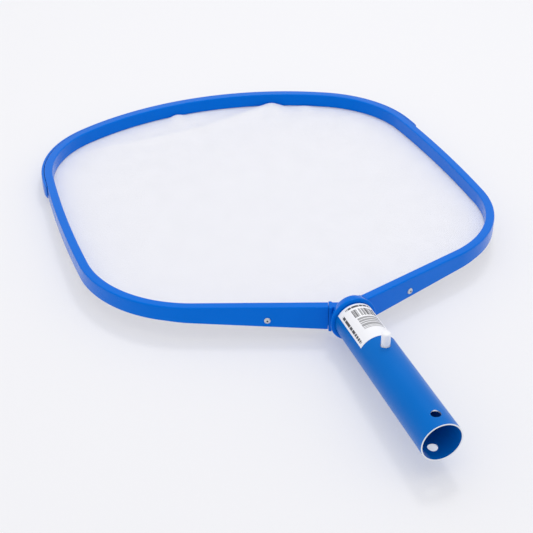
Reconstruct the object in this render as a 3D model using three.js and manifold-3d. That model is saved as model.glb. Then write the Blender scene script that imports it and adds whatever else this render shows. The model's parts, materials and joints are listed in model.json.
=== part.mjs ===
// A leaf skimmer net for a swimming pool, in millimetres, +Z up.
//
// A blue moulded rim carries a fine flat net. Its two ends meet a hub, which plugs into a short
// aluminium tube. A telescopic pole slides over the tube, up to the hub's collar, and the two
// buttons of a V-shaped clip inside the tube lock into holes in the pole.
//
// The pieces are drawn with the tube's axis along Y and the rim's rear point at the origin, then
// the whole skimmer is laid down on its lower button and the rim's front edge, as it rests.

import * as THREE from 'three';
import { mergeVertices } from 'three/addons/utils/BufferGeometryUtils.js';
import Module from 'manifold-3d';

const wasm = await Module();
wasm.setup();

// ---------- driving sizes ----------

// Rim plan: one front arc, two nearly straight sides, and two straight rear runs to the hub.
const RIM_WIDTH = 340;
const RIM_LENGTH = 367;
const FRONT_RADIUS = 247;
const FRONT_CORNER_RADIUS = 94;
const SIDE_RADIUS = 1100;
const WIDEST_FROM_REAR = 176;
const REAR_CORNER_RADIUS = 92;
const REAR_SLOPE = THREE.MathUtils.degToRad(18.5);

// Rim section: a channel, open below, that grows taller towards the hub.
const RIM_THICKNESS = 7;
const RIM_WALL = 1.5;
const RIM_EDGE_RADIUS = 1.1;
const RIM_TOP = 7.3;
const RIM_BOTTOM = -4.8;
const HUB_TOP_DROP = 0.7;
const HUB_BOTTOM_DROP = 8.7;
const TAPER_LENGTH = 130;
const RIM_END = 15.5;

// Leading edge strip, round the outside of the front and both front corners.
const STRIP_HALF_LENGTH = 234;
const STRIP_THICKNESS = 2.4;
const STRIP_BELOW_TOP = 0.5;
const STRIP_ABOVE_BOTTOM = 0.6;
const STRIP_END_LENGTH = 7;

// Net and the bead that holds its edge in the channel.
const NET_THICKNESS = 0.8;
const NET_ABOVE_BOTTOM = 0.4;
const BEAD_CLEARANCE = 0.6;
const BEAD_ABOVE_BOTTOM = 2.2;
const BEAD_CLEAR_OF_SPIGOT = 4;

// Handle tube.
const TUBE_DIAMETER = 28.6;
const TUBE_WALL = 1.0;
const TUBE_LENGTH = 138;
const HOLE_DIAMETER = 6.8;
const END_HOLE_FROM_MOUTH = 11;
const CLIP_HOLE_FROM_MOUTH = 85;

// Hub: a collar whose socket takes the tube's end, a plug inside the tube, and two arms with
// spigots inside the rim's ends.
const COLLAR_STEP = 2.9;
const COLLAR_REAR = -6.4;
const COLLAR_ROUND = 1.2;
const SOCKET_DEPTH = 2;
const PLUG_LENGTH = 30;
const PLUG_WALL = 2.4;
const HUB_NOSE = 6.2;
const HUB_NOSE_WALL = 4.6;
const FLANGE_THICKNESS = 2.4;
const FLANGE_LIP = 1.1;
const SPIGOT_LENGTH = 62;
const SPIGOT_ABOVE_BOTTOM = 2;

// Clip: two buttons on the legs of a V, with its bend towards the tube's mouth.
const BUTTON_CLEARANCE = 0.25;
const BUTTON_STANDS_OUT = 10;
const BUTTON_ROUND = 1.1;
const BUTTON_FLANGE_DIAMETER = 9;
const BUTTON_FLANGE_THICKNESS = 1.2;
const LEAF_WIDTH = 8;
const LEAF_THICKNESS = 0.9;
const CLIP_LENGTH = 44;
const CLIP_BEND_RADIUS = 3.2;

// Blind rivets.
const RIVET_STEM_TAIL = 0.6;
const RIVET_CLEAR_OF_WALL = 0.35;
const TUBE_RIVET = { head: 6.4, dome: 1.1, shank: 3.2, bulb: 4.6, bulbLength: 2.4, stem: 1.7 };
const RIVET_FROM_HUB = 58.5;
const RIVET_ABOVE_BOTTOM = 5.4;
const SPIGOT_WEB = 1.6;
const TUBE_RIVET_FROM_COLLAR = 8;

// Paper label on top of the tube.
const LABEL_LENGTH = 39.5;
const LABEL_HALF_ANGLE = THREE.MathUtils.degToRad(61);
const LABEL_THICKNESS = 0.12;
const LABEL_FROM_COLLAR = 1.2;

// Clearances between pieces.
const GAP = 0.3;
const SLIDING_GAP = 0.15;
const PAPER_GAP = 0.08;

// ---------- places worked out from the sizes ----------

const COLLAR_DIAMETER = TUBE_DIAMETER + 2 * COLLAR_STEP;
const BUTTON_DIAMETER = HOLE_DIAMETER - 2 * BUTTON_CLEARANCE;
const BEAD_DIAMETER = RIM_THICKNESS - 2 * RIM_WALL - 2 * BEAD_CLEARANCE;
const RIVET_ROOM = RIM_THICKNESS - 2 * RIM_WALL - SLIDING_GAP - SPIGOT_WEB - RIVET_STEM_TAIL;
const RIM_RIVET = {
  head: 4.8, dome: 1.1, shank: 2.4, bulb: 3.4, bulbLength: RIVET_ROOM - RIVET_CLEAR_OF_WALL, stem: 1.2,
};
const TUBE_RADIUS = TUBE_DIAMETER / 2;
const BORE_RADIUS = TUBE_RADIUS - TUBE_WALL;
const TUBE_FRONT = COLLAR_REAR + SOCKET_DEPTH - GAP;
const TUBE_MOUTH = TUBE_FRONT - TUBE_LENGTH;
const CLIP_HOLE_Y = TUBE_MOUTH + CLIP_HOLE_FROM_MOUTH;
const RIM_INNER = -RIM_THICKNESS;
const ROUND_STEPS = 64;
const SMALL_ROUND_STEPS = 24;
const ROUTE_STEP = 12;

// ---------- the rim's route ----------

// One half of the rim's outer outline, from the hub's centre to the middle of the front, as a
// line and four arcs that run smoothly into each other. Each piece gives its point and its
// outward direction at a distance along it.
function linePiece(start, end, outward) {
  const length = start.distanceTo(end);
  const at = (d) => ({ point: start.clone().lerp(end, d / length), outward: outward.clone() });
  return { length, at };
}

function arcPiece(centre, radius, startAngle, endAngle) {
  const length = radius * Math.abs(endAngle - startAngle);
  const at = (d) => {
    const angle = startAngle + (endAngle - startAngle) * (d / length);
    const outward = new THREE.Vector2(Math.cos(angle), Math.sin(angle));
    return { point: outward.clone().multiplyScalar(radius).add(centre), outward };
  };
  return { length, at };
}

// The centre of a circle that rounds off the corner between two larger circles, from inside.
function cornerCentre(centreA, radiusA, centreB, radiusB, radius) {
  const a = radiusA - radius;
  const b = radiusB - radius;
  const between = centreB.clone().sub(centreA);
  const distance = between.length();
  const along = (distance * distance + a * a - b * b) / (2 * distance);
  const across = Math.sqrt(a * a - along * along);
  const unit = between.divideScalar(distance);
  const side = new THREE.Vector2(unit.y, -unit.x);
  return centreA.clone().addScaledVector(unit, along).addScaledVector(side, across);
}

// The centre of the rear corner's circle, which touches the rear run and the side.
function rearCornerCentre(sideCentre, along, inward) {
  const start = inward.clone().multiplyScalar(REAR_CORNER_RADIUS).sub(sideCentre);
  const reach = SIDE_RADIUS - REAR_CORNER_RADIUS;
  const half = start.dot(along);
  const run = -half + Math.sqrt(half * half - start.lengthSq() + reach * reach);
  return { run, centre: along.clone().multiplyScalar(run).addScaledVector(inward, REAR_CORNER_RADIUS) };
}

function halfOutline() {
  const along = new THREE.Vector2(Math.cos(REAR_SLOPE), Math.sin(REAR_SLOPE));
  const inward = new THREE.Vector2(-along.y, along.x);
  const frontCentre = new THREE.Vector2(0, RIM_LENGTH - FRONT_RADIUS);
  const sideCentre = new THREE.Vector2(RIM_WIDTH / 2 - SIDE_RADIUS, WIDEST_FROM_REAR);
  const rear = rearCornerCentre(sideCentre, along, inward);
  const corner = cornerCentre(frontCentre, FRONT_RADIUS, sideCentre, SIDE_RADIUS, FRONT_CORNER_RADIUS);
  const rearAngle = REAR_SLOPE - Math.PI / 2;
  const sideStart = rear.centre.clone().sub(sideCentre).angle();
  const sideAngle = sideStart > Math.PI ? sideStart - 2 * Math.PI : sideStart;
  const cornerAngle = corner.clone().sub(sideCentre).angle();
  const frontAngle = corner.clone().sub(frontCentre).angle();
  return [
    linePiece(new THREE.Vector2(), along.clone().multiplyScalar(rear.run), inward.clone().negate()),
    arcPiece(rear.centre, REAR_CORNER_RADIUS, rearAngle, sideAngle),
    arcPiece(sideCentre, SIDE_RADIUS, sideAngle, cornerAngle),
    arcPiece(corner, FRONT_CORNER_RADIUS, cornerAngle, frontAngle),
    arcPiece(frontCentre, FRONT_RADIUS, frontAngle, Math.PI / 2),
  ];
}

const OUTLINE = halfOutline();
const HALF_ROUTE = OUTLINE.reduce((sum, piece) => sum + piece.length, 0);
const FULL_ROUTE = 2 * HALF_ROUTE;

// A place on the whole route: it starts at the hub, runs along the right side, round the front
// and back along the left side.
function routeAt(distance) {
  const mirrored = distance > HALF_ROUTE;
  const fromHub = mirrored ? FULL_ROUTE - distance : distance;
  let left = fromHub;
  let i = 0;
  while (i < OUTLINE.length - 1 && left > OUTLINE[i].length) {
    left -= OUTLINE[i].length;
    i += 1;
  }
  const { point, outward } = OUTLINE[i].at(left);
  const flip = mirrored ? -1 : 1;
  const taper = Math.max(0, 1 - fromHub / TAPER_LENGTH);
  return {
    distance,
    fromHub,
    x: flip * point.x,
    y: point.y,
    nx: flip * outward.x,
    ny: outward.y,
    top: RIM_TOP - HUB_TOP_DROP * taper,
    bottom: RIM_BOTTOM - HUB_BOTTOM_DROP * taper,
  };
}

function routeBetween(start, end) {
  const count = Math.max(2, Math.ceil((end - start) / ROUTE_STEP));
  return Array.from({ length: count + 1 }, (_, i) => routeAt(start + ((end - start) * i) / count));
}

// ---------- solid helpers ----------

function solidGeometry(positions, index) {
  const geometry = new THREE.BufferGeometry();
  geometry.setAttribute('position', new THREE.Float32BufferAttribute(positions, 3));
  geometry.setIndex(index);
  geometry.computeVertexNormals();
  return geometry;
}

// A section carried along stations of the route. A section is a list of [outward, height].
function sweep(stations, sectionAt) {
  const sections = stations.map(sectionAt);
  const count = sections[0].length;
  const positions = [];
  stations.forEach((station, i) => {
    for (const [outward, height] of sections[i]) {
      positions.push(station.x + outward * station.nx, station.y + outward * station.ny, height);
    }
  });
  const index = [];
  for (let i = 0; i + 1 < stations.length; i += 1) {
    for (let j = 0; j < count; j += 1) {
      const a = i * count + j;
      const b = i * count + ((j + 1) % count);
      index.push(a, a + count, b, b, a + count, b + count);
    }
  }
  const cap = (section, base, turn) => {
    const contour = section.map(([u, v]) => new THREE.Vector2(u, v));
    for (const [a, b, c] of THREE.ShapeUtils.triangulateShape(contour, [])) {
      const keep = turn * THREE.ShapeUtils.area([contour[a], contour[b], contour[c]]) > 0;
      index.push(base + a, base + (keep ? b : c), base + (keep ? c : b));
    }
  };
  cap(sections[0], 0, 1);
  cap(sections.at(-1), (stations.length - 1) * count, -1);
  return solidGeometry(positions, index);
}

// A round piece turned about Y, the tube's axis, from a profile of [radius, distance] that closes
// on itself or starts and ends on the axis.
function turnedAlongTube(profile, steps = ROUND_STEPS) {
  return new THREE.LatheGeometry(profile.map(([r, along]) => new THREE.Vector2(r, along)), steps);
}

// A small round piece turned about Z, as buttons and rivets are drawn.
function turned(profile) {
  return turnedAlongTube(profile, SMALL_ROUND_STEPS).rotateX(Math.PI / 2);
}

function toSolid(geometry) {
  const bare = new THREE.BufferGeometry();
  bare.setAttribute('position', geometry.getAttribute('position'));
  bare.setIndex(geometry.getIndex());
  const merged = mergeVertices(bare, 1e-4);
  const index = Array.from(merged.getIndex().array);
  const triVerts = [];
  for (let i = 0; i < index.length; i += 3) {
    const [a, b, c] = index.slice(i, i + 3);
    if (a !== b && b !== c && c !== a) {
      triVerts.push(a, b, c);
    }
  }
  const vertProperties = new Float32Array(merged.getAttribute('position').array);
  const mesh = new wasm.Mesh({ numProp: 3, vertProperties, triVerts: new Uint32Array(triVerts) });
  return new wasm.Manifold(mesh);
}

function fromSolid(solid) {
  const mesh = solid.getMesh();
  return solidGeometry(Array.from(mesh.vertProperties), Array.from(mesh.triVerts));
}

function join(geometries) {
  const solids = geometries.map(toSolid);
  return fromSolid(solids.slice(1).reduce((sum, solid) => sum.add(solid), solids[0]));
}

function cut(geometry, cutters) {
  return fromSolid(cutters.map(toSolid).reduce((rest, cutter) => rest.subtract(cutter), toSolid(geometry)));
}

// A plain cylinder that starts at a point and runs along a direction.
function rod(diameter, length, start, direction) {
  const cylinder = new THREE.CylinderGeometry(diameter / 2, diameter / 2, length, SMALL_ROUND_STEPS);
  cylinder.translate(0, length / 2, 0);
  const turn = new THREE.Quaternion().setFromUnitVectors(new THREE.Vector3(0, 1, 0), direction);
  return cylinder.applyQuaternion(turn).translate(start.x, start.y, start.z);
}

// ---------- rim, strip, net and bead ----------

// Four quarter-round or square corners of a box-like section, from outer bottom round the top.
function roundedTop(outer, inner, top, radius) {
  const points = [];
  for (let i = 0; i <= 3; i += 1) {
    const angle = (i * Math.PI) / 6;
    points.push([outer - radius + radius * Math.cos(angle), top - radius + radius * Math.sin(angle)]);
  }
  for (let i = 0; i <= 3; i += 1) {
    const angle = Math.PI / 2 + (i * Math.PI) / 6;
    points.push([inner + radius + radius * Math.cos(angle), top - radius + radius * Math.sin(angle)]);
  }
  return points;
}

function rimSection(station) {
  const ceiling = station.top - RIM_WALL;
  return [
    [0, station.bottom],
    ...roundedTop(0, RIM_INNER, station.top, RIM_EDGE_RADIUS),
    [RIM_INNER, station.bottom],
    [RIM_INNER + RIM_WALL, station.bottom],
    [RIM_INNER + RIM_WALL, ceiling],
    [-RIM_WALL, ceiling],
    [-RIM_WALL, station.bottom],
  ];
}

// The two places where a rivet goes in, on the rim's outer face beside the hub.
function rivetPlaces() {
  return [RIVET_FROM_HUB, FULL_ROUTE - RIVET_FROM_HUB].map((distance) => {
    const station = routeAt(distance);
    const outward = new THREE.Vector3(station.nx, station.ny, 0);
    const face = new THREE.Vector3(station.x, station.y, station.bottom + RIVET_ABOVE_BOTTOM);
    return { face, outward };
  });
}

function rimGeometry() {
  const body = sweep(routeBetween(RIM_END, FULL_ROUTE - RIM_END), rimSection);
  const holes = rivetPlaces().map(({ face, outward }) => {
    const start = face.clone().addScaledVector(outward, 1);
    return rod(RIM_RIVET.shank + 2 * SLIDING_GAP, 1 + RIM_WALL + SLIDING_GAP, start, outward.clone().negate());
  });
  return cut(body, holes);
}

// The strip thins to a rounded tip at each end.
function stripGeometry() {
  const start = HALF_ROUTE - STRIP_HALF_LENGTH;
  const end = HALF_ROUTE + STRIP_HALF_LENGTH;
  const tips = [0, 0.12, 0.35, 0.65, 1].map((share) => share * STRIP_END_LENGTH);
  const stations = [
    ...tips.slice(0, -1).map((d) => routeAt(start + d)),
    ...routeBetween(start + STRIP_END_LENGTH, end - STRIP_END_LENGTH),
    ...tips.slice(0, -1).reverse().map((d) => routeAt(end - d)),
  ];
  return sweep(stations, (station) => {
    const fromTip = Math.min(station.distance - start, end - station.distance) / STRIP_END_LENGTH;
    const share = Math.sqrt(Math.max(0.06, 1 - (1 - Math.min(fromTip, 1)) ** 2));
    const outer = GAP + (STRIP_THICKNESS - GAP) * share;
    const round = Math.min(RIM_EDGE_RADIUS, (outer - GAP) / 2.2);
    const bottom = station.bottom + STRIP_ABOVE_BOTTOM;
    return [[GAP, bottom], [outer, bottom], ...roundedTop(outer, GAP, station.top - STRIP_BELOW_TOP, round)];
  });
}

// The net stops short of the rim's inner wall, and of the hub's wider flanges.
function netGeometry() {
  const start = RIM_THICKNESS / 2;
  const edge = [...routeBetween(start, RIM_END + 1), ...routeBetween(RIM_END + 2, FULL_ROUTE - RIM_END - 2),
    ...routeBetween(FULL_ROUTE - RIM_END - 1, FULL_ROUTE - start)];
  const outline = edge.map((station) => {
    const inset = RIM_INNER - GAP - (station.fromHub < RIM_END + 1.5 ? FLANGE_LIP : 0);
    return new THREE.Vector2(station.x + inset * station.nx, station.y + inset * station.ny);
  });
  const sheet = new THREE.ExtrudeGeometry(new THREE.Shape(outline), { depth: NET_THICKNESS, bevelEnabled: false });
  return sheet.translate(0, 0, RIM_BOTTOM + NET_ABOVE_BOTTOM);
}

function beadGeometry() {
  const start = RIM_END + SPIGOT_LENGTH + BEAD_CLEAR_OF_SPIGOT;
  const radius = BEAD_DIAMETER / 2;
  return sweep(routeBetween(start, FULL_ROUTE - start), (station) =>
    Array.from({ length: 8 }, (_, i) => {
      const angle = (i * Math.PI) / 4;
      return [RIM_INNER / 2 + radius * Math.cos(angle), station.bottom + BEAD_ABOVE_BOTTOM + radius * Math.sin(angle)];
    }),
  );
}

// ---------- hub ----------

function hubProfile() {
  const collar = COLLAR_DIAMETER / 2;
  const plugOuter = BORE_RADIUS - SLIDING_GAP;
  const plugInner = plugOuter - PLUG_WALL;
  const plugRear = COLLAR_REAR - PLUG_LENGTH;
  const innerFront = HUB_NOSE - HUB_NOSE_WALL;
  const domeStart = COLLAR_REAR + 4.2;
  const dome = Array.from({ length: 7 }, (_, i) => {
    const angle = (i * Math.PI) / 12;
    return [collar * Math.cos(angle), domeStart + (HUB_NOSE - domeStart) * Math.sin(angle)];
  });
  return [
    [0, innerFront],
    [plugInner, innerFront],
    [plugInner, plugRear],
    [plugOuter, plugRear],
    [plugOuter, COLLAR_REAR + SOCKET_DEPTH],
    [TUBE_RADIUS + SLIDING_GAP, COLLAR_REAR + SOCKET_DEPTH],
    [TUBE_RADIUS + SLIDING_GAP, COLLAR_REAR],
    [collar - COLLAR_ROUND, COLLAR_REAR],
    [collar - 0.3 * COLLAR_ROUND, COLLAR_REAR + 0.3 * COLLAR_ROUND],
    [collar, COLLAR_REAR + COLLAR_ROUND],
    ...dome.slice(0, -1),
    [0, HUB_NOSE],
  ];
}

function solidBarSection(grow) {
  return (station) => [
    [grow, station.bottom - grow],
    ...roundedTop(grow, RIM_INNER - grow, station.top + grow, RIM_EDGE_RADIUS),
    [RIM_INNER - grow, station.bottom - grow],
  ];
}

function spigotSection(station) {
  const outer = -RIM_WALL - SLIDING_GAP;
  const inner = RIM_INNER + RIM_WALL + SLIDING_GAP;
  const top = station.top - RIM_WALL - SLIDING_GAP;
  const bottom = station.bottom + SPIGOT_ABOVE_BOTTOM;
  return [[outer, bottom], [outer, top], [inner, top], [inner, bottom]];
}

// One arm: a core out of the hub, a flange that the rim's end meets, and a spigot inside the rim.
function armGeometries(onRight) {
  const run = (start, end) =>
    onRight ? routeBetween(start, end) : routeBetween(FULL_ROUTE - end, FULL_ROUTE - start);
  const face = RIM_END - GAP;
  return [
    sweep(run(3, face - FLANGE_THICKNESS / 2), solidBarSection(0)),
    sweep(run(face - FLANGE_THICKNESS, face), solidBarSection(FLANGE_LIP)),
    sweep(run(face - 1, RIM_END + SPIGOT_LENGTH), spigotSection),
  ];
}

function hubGeometry() {
  const hollow = rod(2 * (BORE_RADIUS - SLIDING_GAP - PLUG_WALL), PLUG_LENGTH + 8,
    new THREE.Vector3(0, COLLAR_REAR - PLUG_LENGTH - 1, 0), new THREE.Vector3(0, 1, 0));
  const body = join([turnedAlongTube(hubProfile()), ...armGeometries(true), ...armGeometries(false)]);
  const down = new THREE.Vector3(0, 0, -1);
  const cutters = [hollow, rod(TUBE_RIVET.shank + 2 * SLIDING_GAP, TUBE_RADIUS, tubeRivetCentre(), down)];
  for (const { face, outward } of rivetPlaces()) {
    const inward = outward.clone().negate();
    const web = face.clone().addScaledVector(inward, RIM_WALL);
    const pocket = web.clone().addScaledVector(inward, SLIDING_GAP + SPIGOT_WEB);
    cutters.push(rod(RIM_RIVET.shank + 2 * SLIDING_GAP, RIM_THICKNESS, web, inward));
    cutters.push(rod(RIM_RIVET.bulb + 1.4, RIM_THICKNESS, pocket, inward));
  }
  return cut(body, cutters);
}

// ---------- handle tube ----------

function tubeRivetCentre() {
  return new THREE.Vector3(0, COLLAR_REAR - TUBE_RIVET_FROM_COLLAR, 0);
}

function tubeGeometry() {
  const wall = turnedAlongTube([
    [BORE_RADIUS, TUBE_MOUTH],
    [TUBE_RADIUS, TUBE_MOUTH],
    [TUBE_RADIUS, TUBE_FRONT],
    [BORE_RADIUS, TUBE_FRONT],
    [BORE_RADIUS, TUBE_MOUTH],
  ]);
  const up = new THREE.Vector3(0, 0, 1);
  const across = [END_HOLE_FROM_MOUTH, CLIP_HOLE_FROM_MOUTH].map((fromMouth) =>
    rod(HOLE_DIAMETER, 3 * TUBE_DIAMETER, new THREE.Vector3(0, TUBE_MOUTH + fromMouth, -1.5 * TUBE_DIAMETER), up));
  const rivetHole = rod(TUBE_RIVET.shank + 2 * SLIDING_GAP, TUBE_DIAMETER, tubeRivetCentre(), up.clone().negate());
  return cut(wall, [...across, rivetHole]);
}

// ---------- clip ----------

// A button's flange lies flat under the tube's curved wall, so its rim is what touches first.
function buttonFlangeTop() {
  return Math.sqrt(BORE_RADIUS ** 2 - (BUTTON_FLANGE_DIAMETER / 2) ** 2) - SLIDING_GAP;
}

function buttonGeometry() {
  const top = TUBE_RADIUS + BUTTON_STANDS_OUT;
  const flangeTop = buttonFlangeTop();
  const flange = BUTTON_FLANGE_DIAMETER / 2;
  const pin = BUTTON_DIAMETER / 2;
  const crown = Array.from({ length: 4 }, (_, i) => {
    const angle = (i * Math.PI) / 6;
    return [pin - BUTTON_ROUND + BUTTON_ROUND * Math.cos(angle), top - BUTTON_ROUND + BUTTON_ROUND * Math.sin(angle)];
  });
  return turned([
    [0, flangeTop - BUTTON_FLANGE_THICKNESS],
    [flange, flangeTop - BUTTON_FLANGE_THICKNESS],
    [flange, flangeTop],
    [pin, flangeTop],
    ...crown,
    [0, top],
  ]);
}

// A leg of the V, seen from the side: a pad under the button, then a slope down to the bend.
function leafGeometry() {
  const padTop = buttonFlangeTop() - BUTTON_FLANGE_THICKNESS - GAP;
  const padEnd = -BUTTON_FLANGE_DIAMETER / 2;
  const bend = -CLIP_LENGTH + CLIP_BEND_RADIUS + GAP;
  const foot = CLIP_BEND_RADIUS;
  const side = new THREE.Shape([
    new THREE.Vector2(-padEnd, padTop),
    new THREE.Vector2(padEnd, padTop),
    new THREE.Vector2(bend, foot),
    new THREE.Vector2(bend, foot - LEAF_THICKNESS),
    new THREE.Vector2(padEnd, padTop - LEAF_THICKNESS),
    new THREE.Vector2(-padEnd, padTop - LEAF_THICKNESS),
  ]);
  return extrudeAcross(side);
}

function clipBendGeometry() {
  const ring = new THREE.Shape();
  const inner = CLIP_BEND_RADIUS - LEAF_THICKNESS;
  ring.absarc(0, 0, CLIP_BEND_RADIUS, Math.PI / 2, (3 * Math.PI) / 2, false);
  ring.lineTo(0, -inner);
  ring.absarc(0, 0, inner, (3 * Math.PI) / 2, Math.PI / 2, true);
  ring.closePath();
  return extrudeAcross(ring).translate(0, -CLIP_LENGTH + CLIP_BEND_RADIUS, 0);
}

// A side view, drawn as [along the tube, height], given the clip's width across the tube.
function extrudeAcross(shape) {
  const flat = new THREE.ExtrudeGeometry(shape, { depth: LEAF_WIDTH, bevelEnabled: false, curveSegments: 12 });
  const toTube = new THREE.Matrix4().makeBasis(
    new THREE.Vector3(0, 1, 0), new THREE.Vector3(0, 0, 1), new THREE.Vector3(1, 0, 0));
  return flat.applyMatrix4(toTube).translate(-LEAF_WIDTH / 2, 0, 0);
}

// ---------- rivets and label ----------

// A blind rivet stands on z = 0, where its head meets the outer piece, with its shank below.
function rivetGeometry(size, grip) {
  const head = size.head / 2;
  const bore = size.stem / 2 + 0.1;
  const tail = -grip - size.bulbLength;
  return turned([
    [bore, tail],
    [size.bulb / 2, tail],
    [size.bulb / 2, -grip - 0.1],
    [size.shank / 2, -grip - 0.1],
    [size.shank / 2, 0.05],
    [head, 0.05],
    [head, 0.3],
    [0.8 * head, 0.75 * size.dome],
    [0.45 * head, size.dome],
    [bore, size.dome],
    [bore, tail],
  ]);
}

function mandrelGeometry(size, grip) {
  const stem = size.stem / 2;
  const end = -grip - size.bulbLength - RIVET_STEM_TAIL;
  const tail = end + 0.5;
  return turned([
    [0, end],
    [stem + 0.25, end + 0.15],
    [stem + 0.25, tail],
    [stem, tail],
    [stem, 0.25 * size.dome],
    [0, 0.25 * size.dome],
  ]);
}

function labelGeometry() {
  const inner = TUBE_RADIUS + PAPER_GAP;
  const outer = inner + LABEL_THICKNESS;
  const start = Math.PI / 2 - LABEL_HALF_ANGLE;
  const end = Math.PI / 2 + LABEL_HALF_ANGLE;
  const band = new THREE.Shape();
  band.absarc(0, 0, outer, start, end, false);
  band.lineTo(inner * Math.cos(end), inner * Math.sin(end));
  band.absarc(0, 0, inner, end, start, true);
  band.closePath();
  const sheet = new THREE.ExtrudeGeometry(band, { depth: LABEL_LENGTH, bevelEnabled: false, curveSegments: 24 });
  return sheet.rotateX(Math.PI / 2).translate(0, COLLAR_REAR - LABEL_FROM_COLLAR, 0);
}

// ---------- materials and assembly ----------

function material(color, roughness, metalness) {
  return new THREE.MeshStandardMaterial({ color, roughness, metalness });
}

const BLUE_PLASTIC = () => material(0x0468cc, 0.22, 0);
const BLUE_ANODISED = () => material(0x0a6fc4, 0.38, 0.6);
const WHITE_PLASTIC = () => material(0xf1f1f4, 0.35, 0);
const WHITE_MESH = () => material(0xf4f4fa, 0.9, 0);
const RIVET_METAL = () => material(0xc9ccd0, 0.3, 1);
const LABEL_PAPER = () => material(0xfafafa, 0.6, 0);

const skimmer = new THREE.Group();

function add(name, geometry, surface) {
  const mesh = new THREE.Mesh(geometry, surface);
  mesh.name = name;
  skimmer.add(mesh);
  return mesh;
}

function addRivet(side, size, grip, face, outward) {
  const turn = new THREE.Quaternion().setFromUnitVectors(new THREE.Vector3(0, 0, 1), outward);
  const rivet = add(`${side}_rivet`, rivetGeometry(size, grip), RIVET_METAL());
  const mandrel = add(`${side}_rivet_mandrel`, mandrelGeometry(size, grip), RIVET_METAL());
  for (const mesh of [rivet, mandrel]) {
    mesh.position.copy(face);
    mesh.quaternion.copy(turn);
  }
}

function addClip() {
  for (const [side, up] of [['upper', 1], ['lower', -1]]) {
    const button = add(`${side}_button`, buttonGeometry(), WHITE_PLASTIC());
    const leaf = add(`${side}_leaf`, leafGeometry(), WHITE_PLASTIC());
    for (const mesh of [button, leaf]) {
      mesh.position.y = CLIP_HOLE_Y;
      mesh.rotation.y = up > 0 ? 0 : Math.PI;
    }
  }
  add('clip_bend', clipBendGeometry(), WHITE_PLASTIC()).position.y = CLIP_HOLE_Y;
}

add('rim', rimGeometry(), BLUE_PLASTIC());
add('leading_edge_strip', stripGeometry(), BLUE_PLASTIC());
add('net', netGeometry(), WHITE_MESH());
add('net_bead', beadGeometry(), WHITE_PLASTIC());
add('hub', hubGeometry(), BLUE_PLASTIC());
add('handle_tube', tubeGeometry(), BLUE_ANODISED());
addClip();
rivetPlaces().forEach(({ face, outward }, i) => {
  addRivet(i === 0 ? 'right' : 'left', RIM_RIVET, RIM_WALL + SLIDING_GAP + SPIGOT_WEB, face, outward);
});
addRivet('tube', TUBE_RIVET, TUBE_WALL + SLIDING_GAP + PLUG_WALL + GAP,
  tubeRivetCentre().setZ(-TUBE_RADIUS), new THREE.Vector3(0, 0, -1));
add('label', labelGeometry(), LABEL_PAPER());

// Lay the skimmer down: it rests on its lower button and on the middle of the rim's front edge.
const restDrop = RIM_BOTTOM + TUBE_RADIUS + BUTTON_STANDS_OUT;
const restRun = RIM_LENGTH - CLIP_HOLE_Y;
skimmer.rotation.x = -Math.atan2(restDrop, restRun);

// The origin is the middle of the skimmer's box at floor level.
const group = new THREE.Group();
group.add(skimmer);
group.updateMatrixWorld(true);
const box = new THREE.Box3().setFromObject(group, true);
skimmer.position.set(0, -(box.min.y + box.max.y) / 2, -box.min.z);
group.updateMatrixWorld(true);

export default group;
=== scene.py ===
# %% [markdown]
# # A leaf skimmer net
#
# A pool skimmer is a light frame that carries a fine net: a blue moulded rim, a hub that joins the
# rim's two ends, and a short aluminium tube that plugs into a pole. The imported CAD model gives
# its place and its tilt, and the sizes below are the ones it was built from. The pieces below are drawn again at full fineness around it, because a moulding's
# small radii are what catch the light, and CAD facets would show.

import json
import math

import bmesh
import bpy
import numpy as np
from mathutils import Matrix, Vector, noise
from mathutils.geometry import delaunay_2d_cdt

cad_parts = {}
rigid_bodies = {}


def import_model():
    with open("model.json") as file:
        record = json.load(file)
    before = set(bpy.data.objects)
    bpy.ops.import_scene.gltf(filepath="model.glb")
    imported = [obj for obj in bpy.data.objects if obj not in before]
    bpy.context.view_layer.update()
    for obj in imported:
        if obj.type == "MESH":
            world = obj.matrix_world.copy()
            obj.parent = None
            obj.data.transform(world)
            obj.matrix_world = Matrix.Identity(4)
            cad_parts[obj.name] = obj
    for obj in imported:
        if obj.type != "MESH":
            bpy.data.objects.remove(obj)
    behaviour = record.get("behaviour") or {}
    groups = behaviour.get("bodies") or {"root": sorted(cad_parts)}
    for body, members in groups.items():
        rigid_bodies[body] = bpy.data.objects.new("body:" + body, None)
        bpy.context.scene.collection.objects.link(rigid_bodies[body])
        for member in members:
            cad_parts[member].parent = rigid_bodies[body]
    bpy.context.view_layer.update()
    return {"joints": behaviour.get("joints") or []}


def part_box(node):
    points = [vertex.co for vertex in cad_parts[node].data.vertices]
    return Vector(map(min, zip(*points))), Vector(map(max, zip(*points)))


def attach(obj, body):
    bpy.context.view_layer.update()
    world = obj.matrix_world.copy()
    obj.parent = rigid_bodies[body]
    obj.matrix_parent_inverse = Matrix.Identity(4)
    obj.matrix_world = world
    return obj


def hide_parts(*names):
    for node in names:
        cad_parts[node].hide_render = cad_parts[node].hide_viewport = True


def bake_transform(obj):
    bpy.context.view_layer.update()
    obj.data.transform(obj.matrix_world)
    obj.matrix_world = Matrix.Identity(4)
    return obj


for leftover in list(bpy.data.objects):
    bpy.data.objects.remove(leftover)
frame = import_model()
MM = 0.001



# %% [markdown]
# ## The skimmer's own axes
#
# The skimmer lies tipped forward, because its lower button holds the tube off the ground. It is
# easier to draw with the tube along Y, so every piece is drawn that way in metres, with the rim's
# rear point at zero, and then its mesh is turned into place. The turn comes from the button's
# joint, which points straight out of the tube, and the place from the tube's own box.

# %% Find the skimmer's axes
COLLAR_REAR = -6.4 * MM
SOCKET_DEPTH = 2 * MM
CLEARANCE = 0.3 * MM
TUBE_LENGTH = 138 * MM

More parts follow.
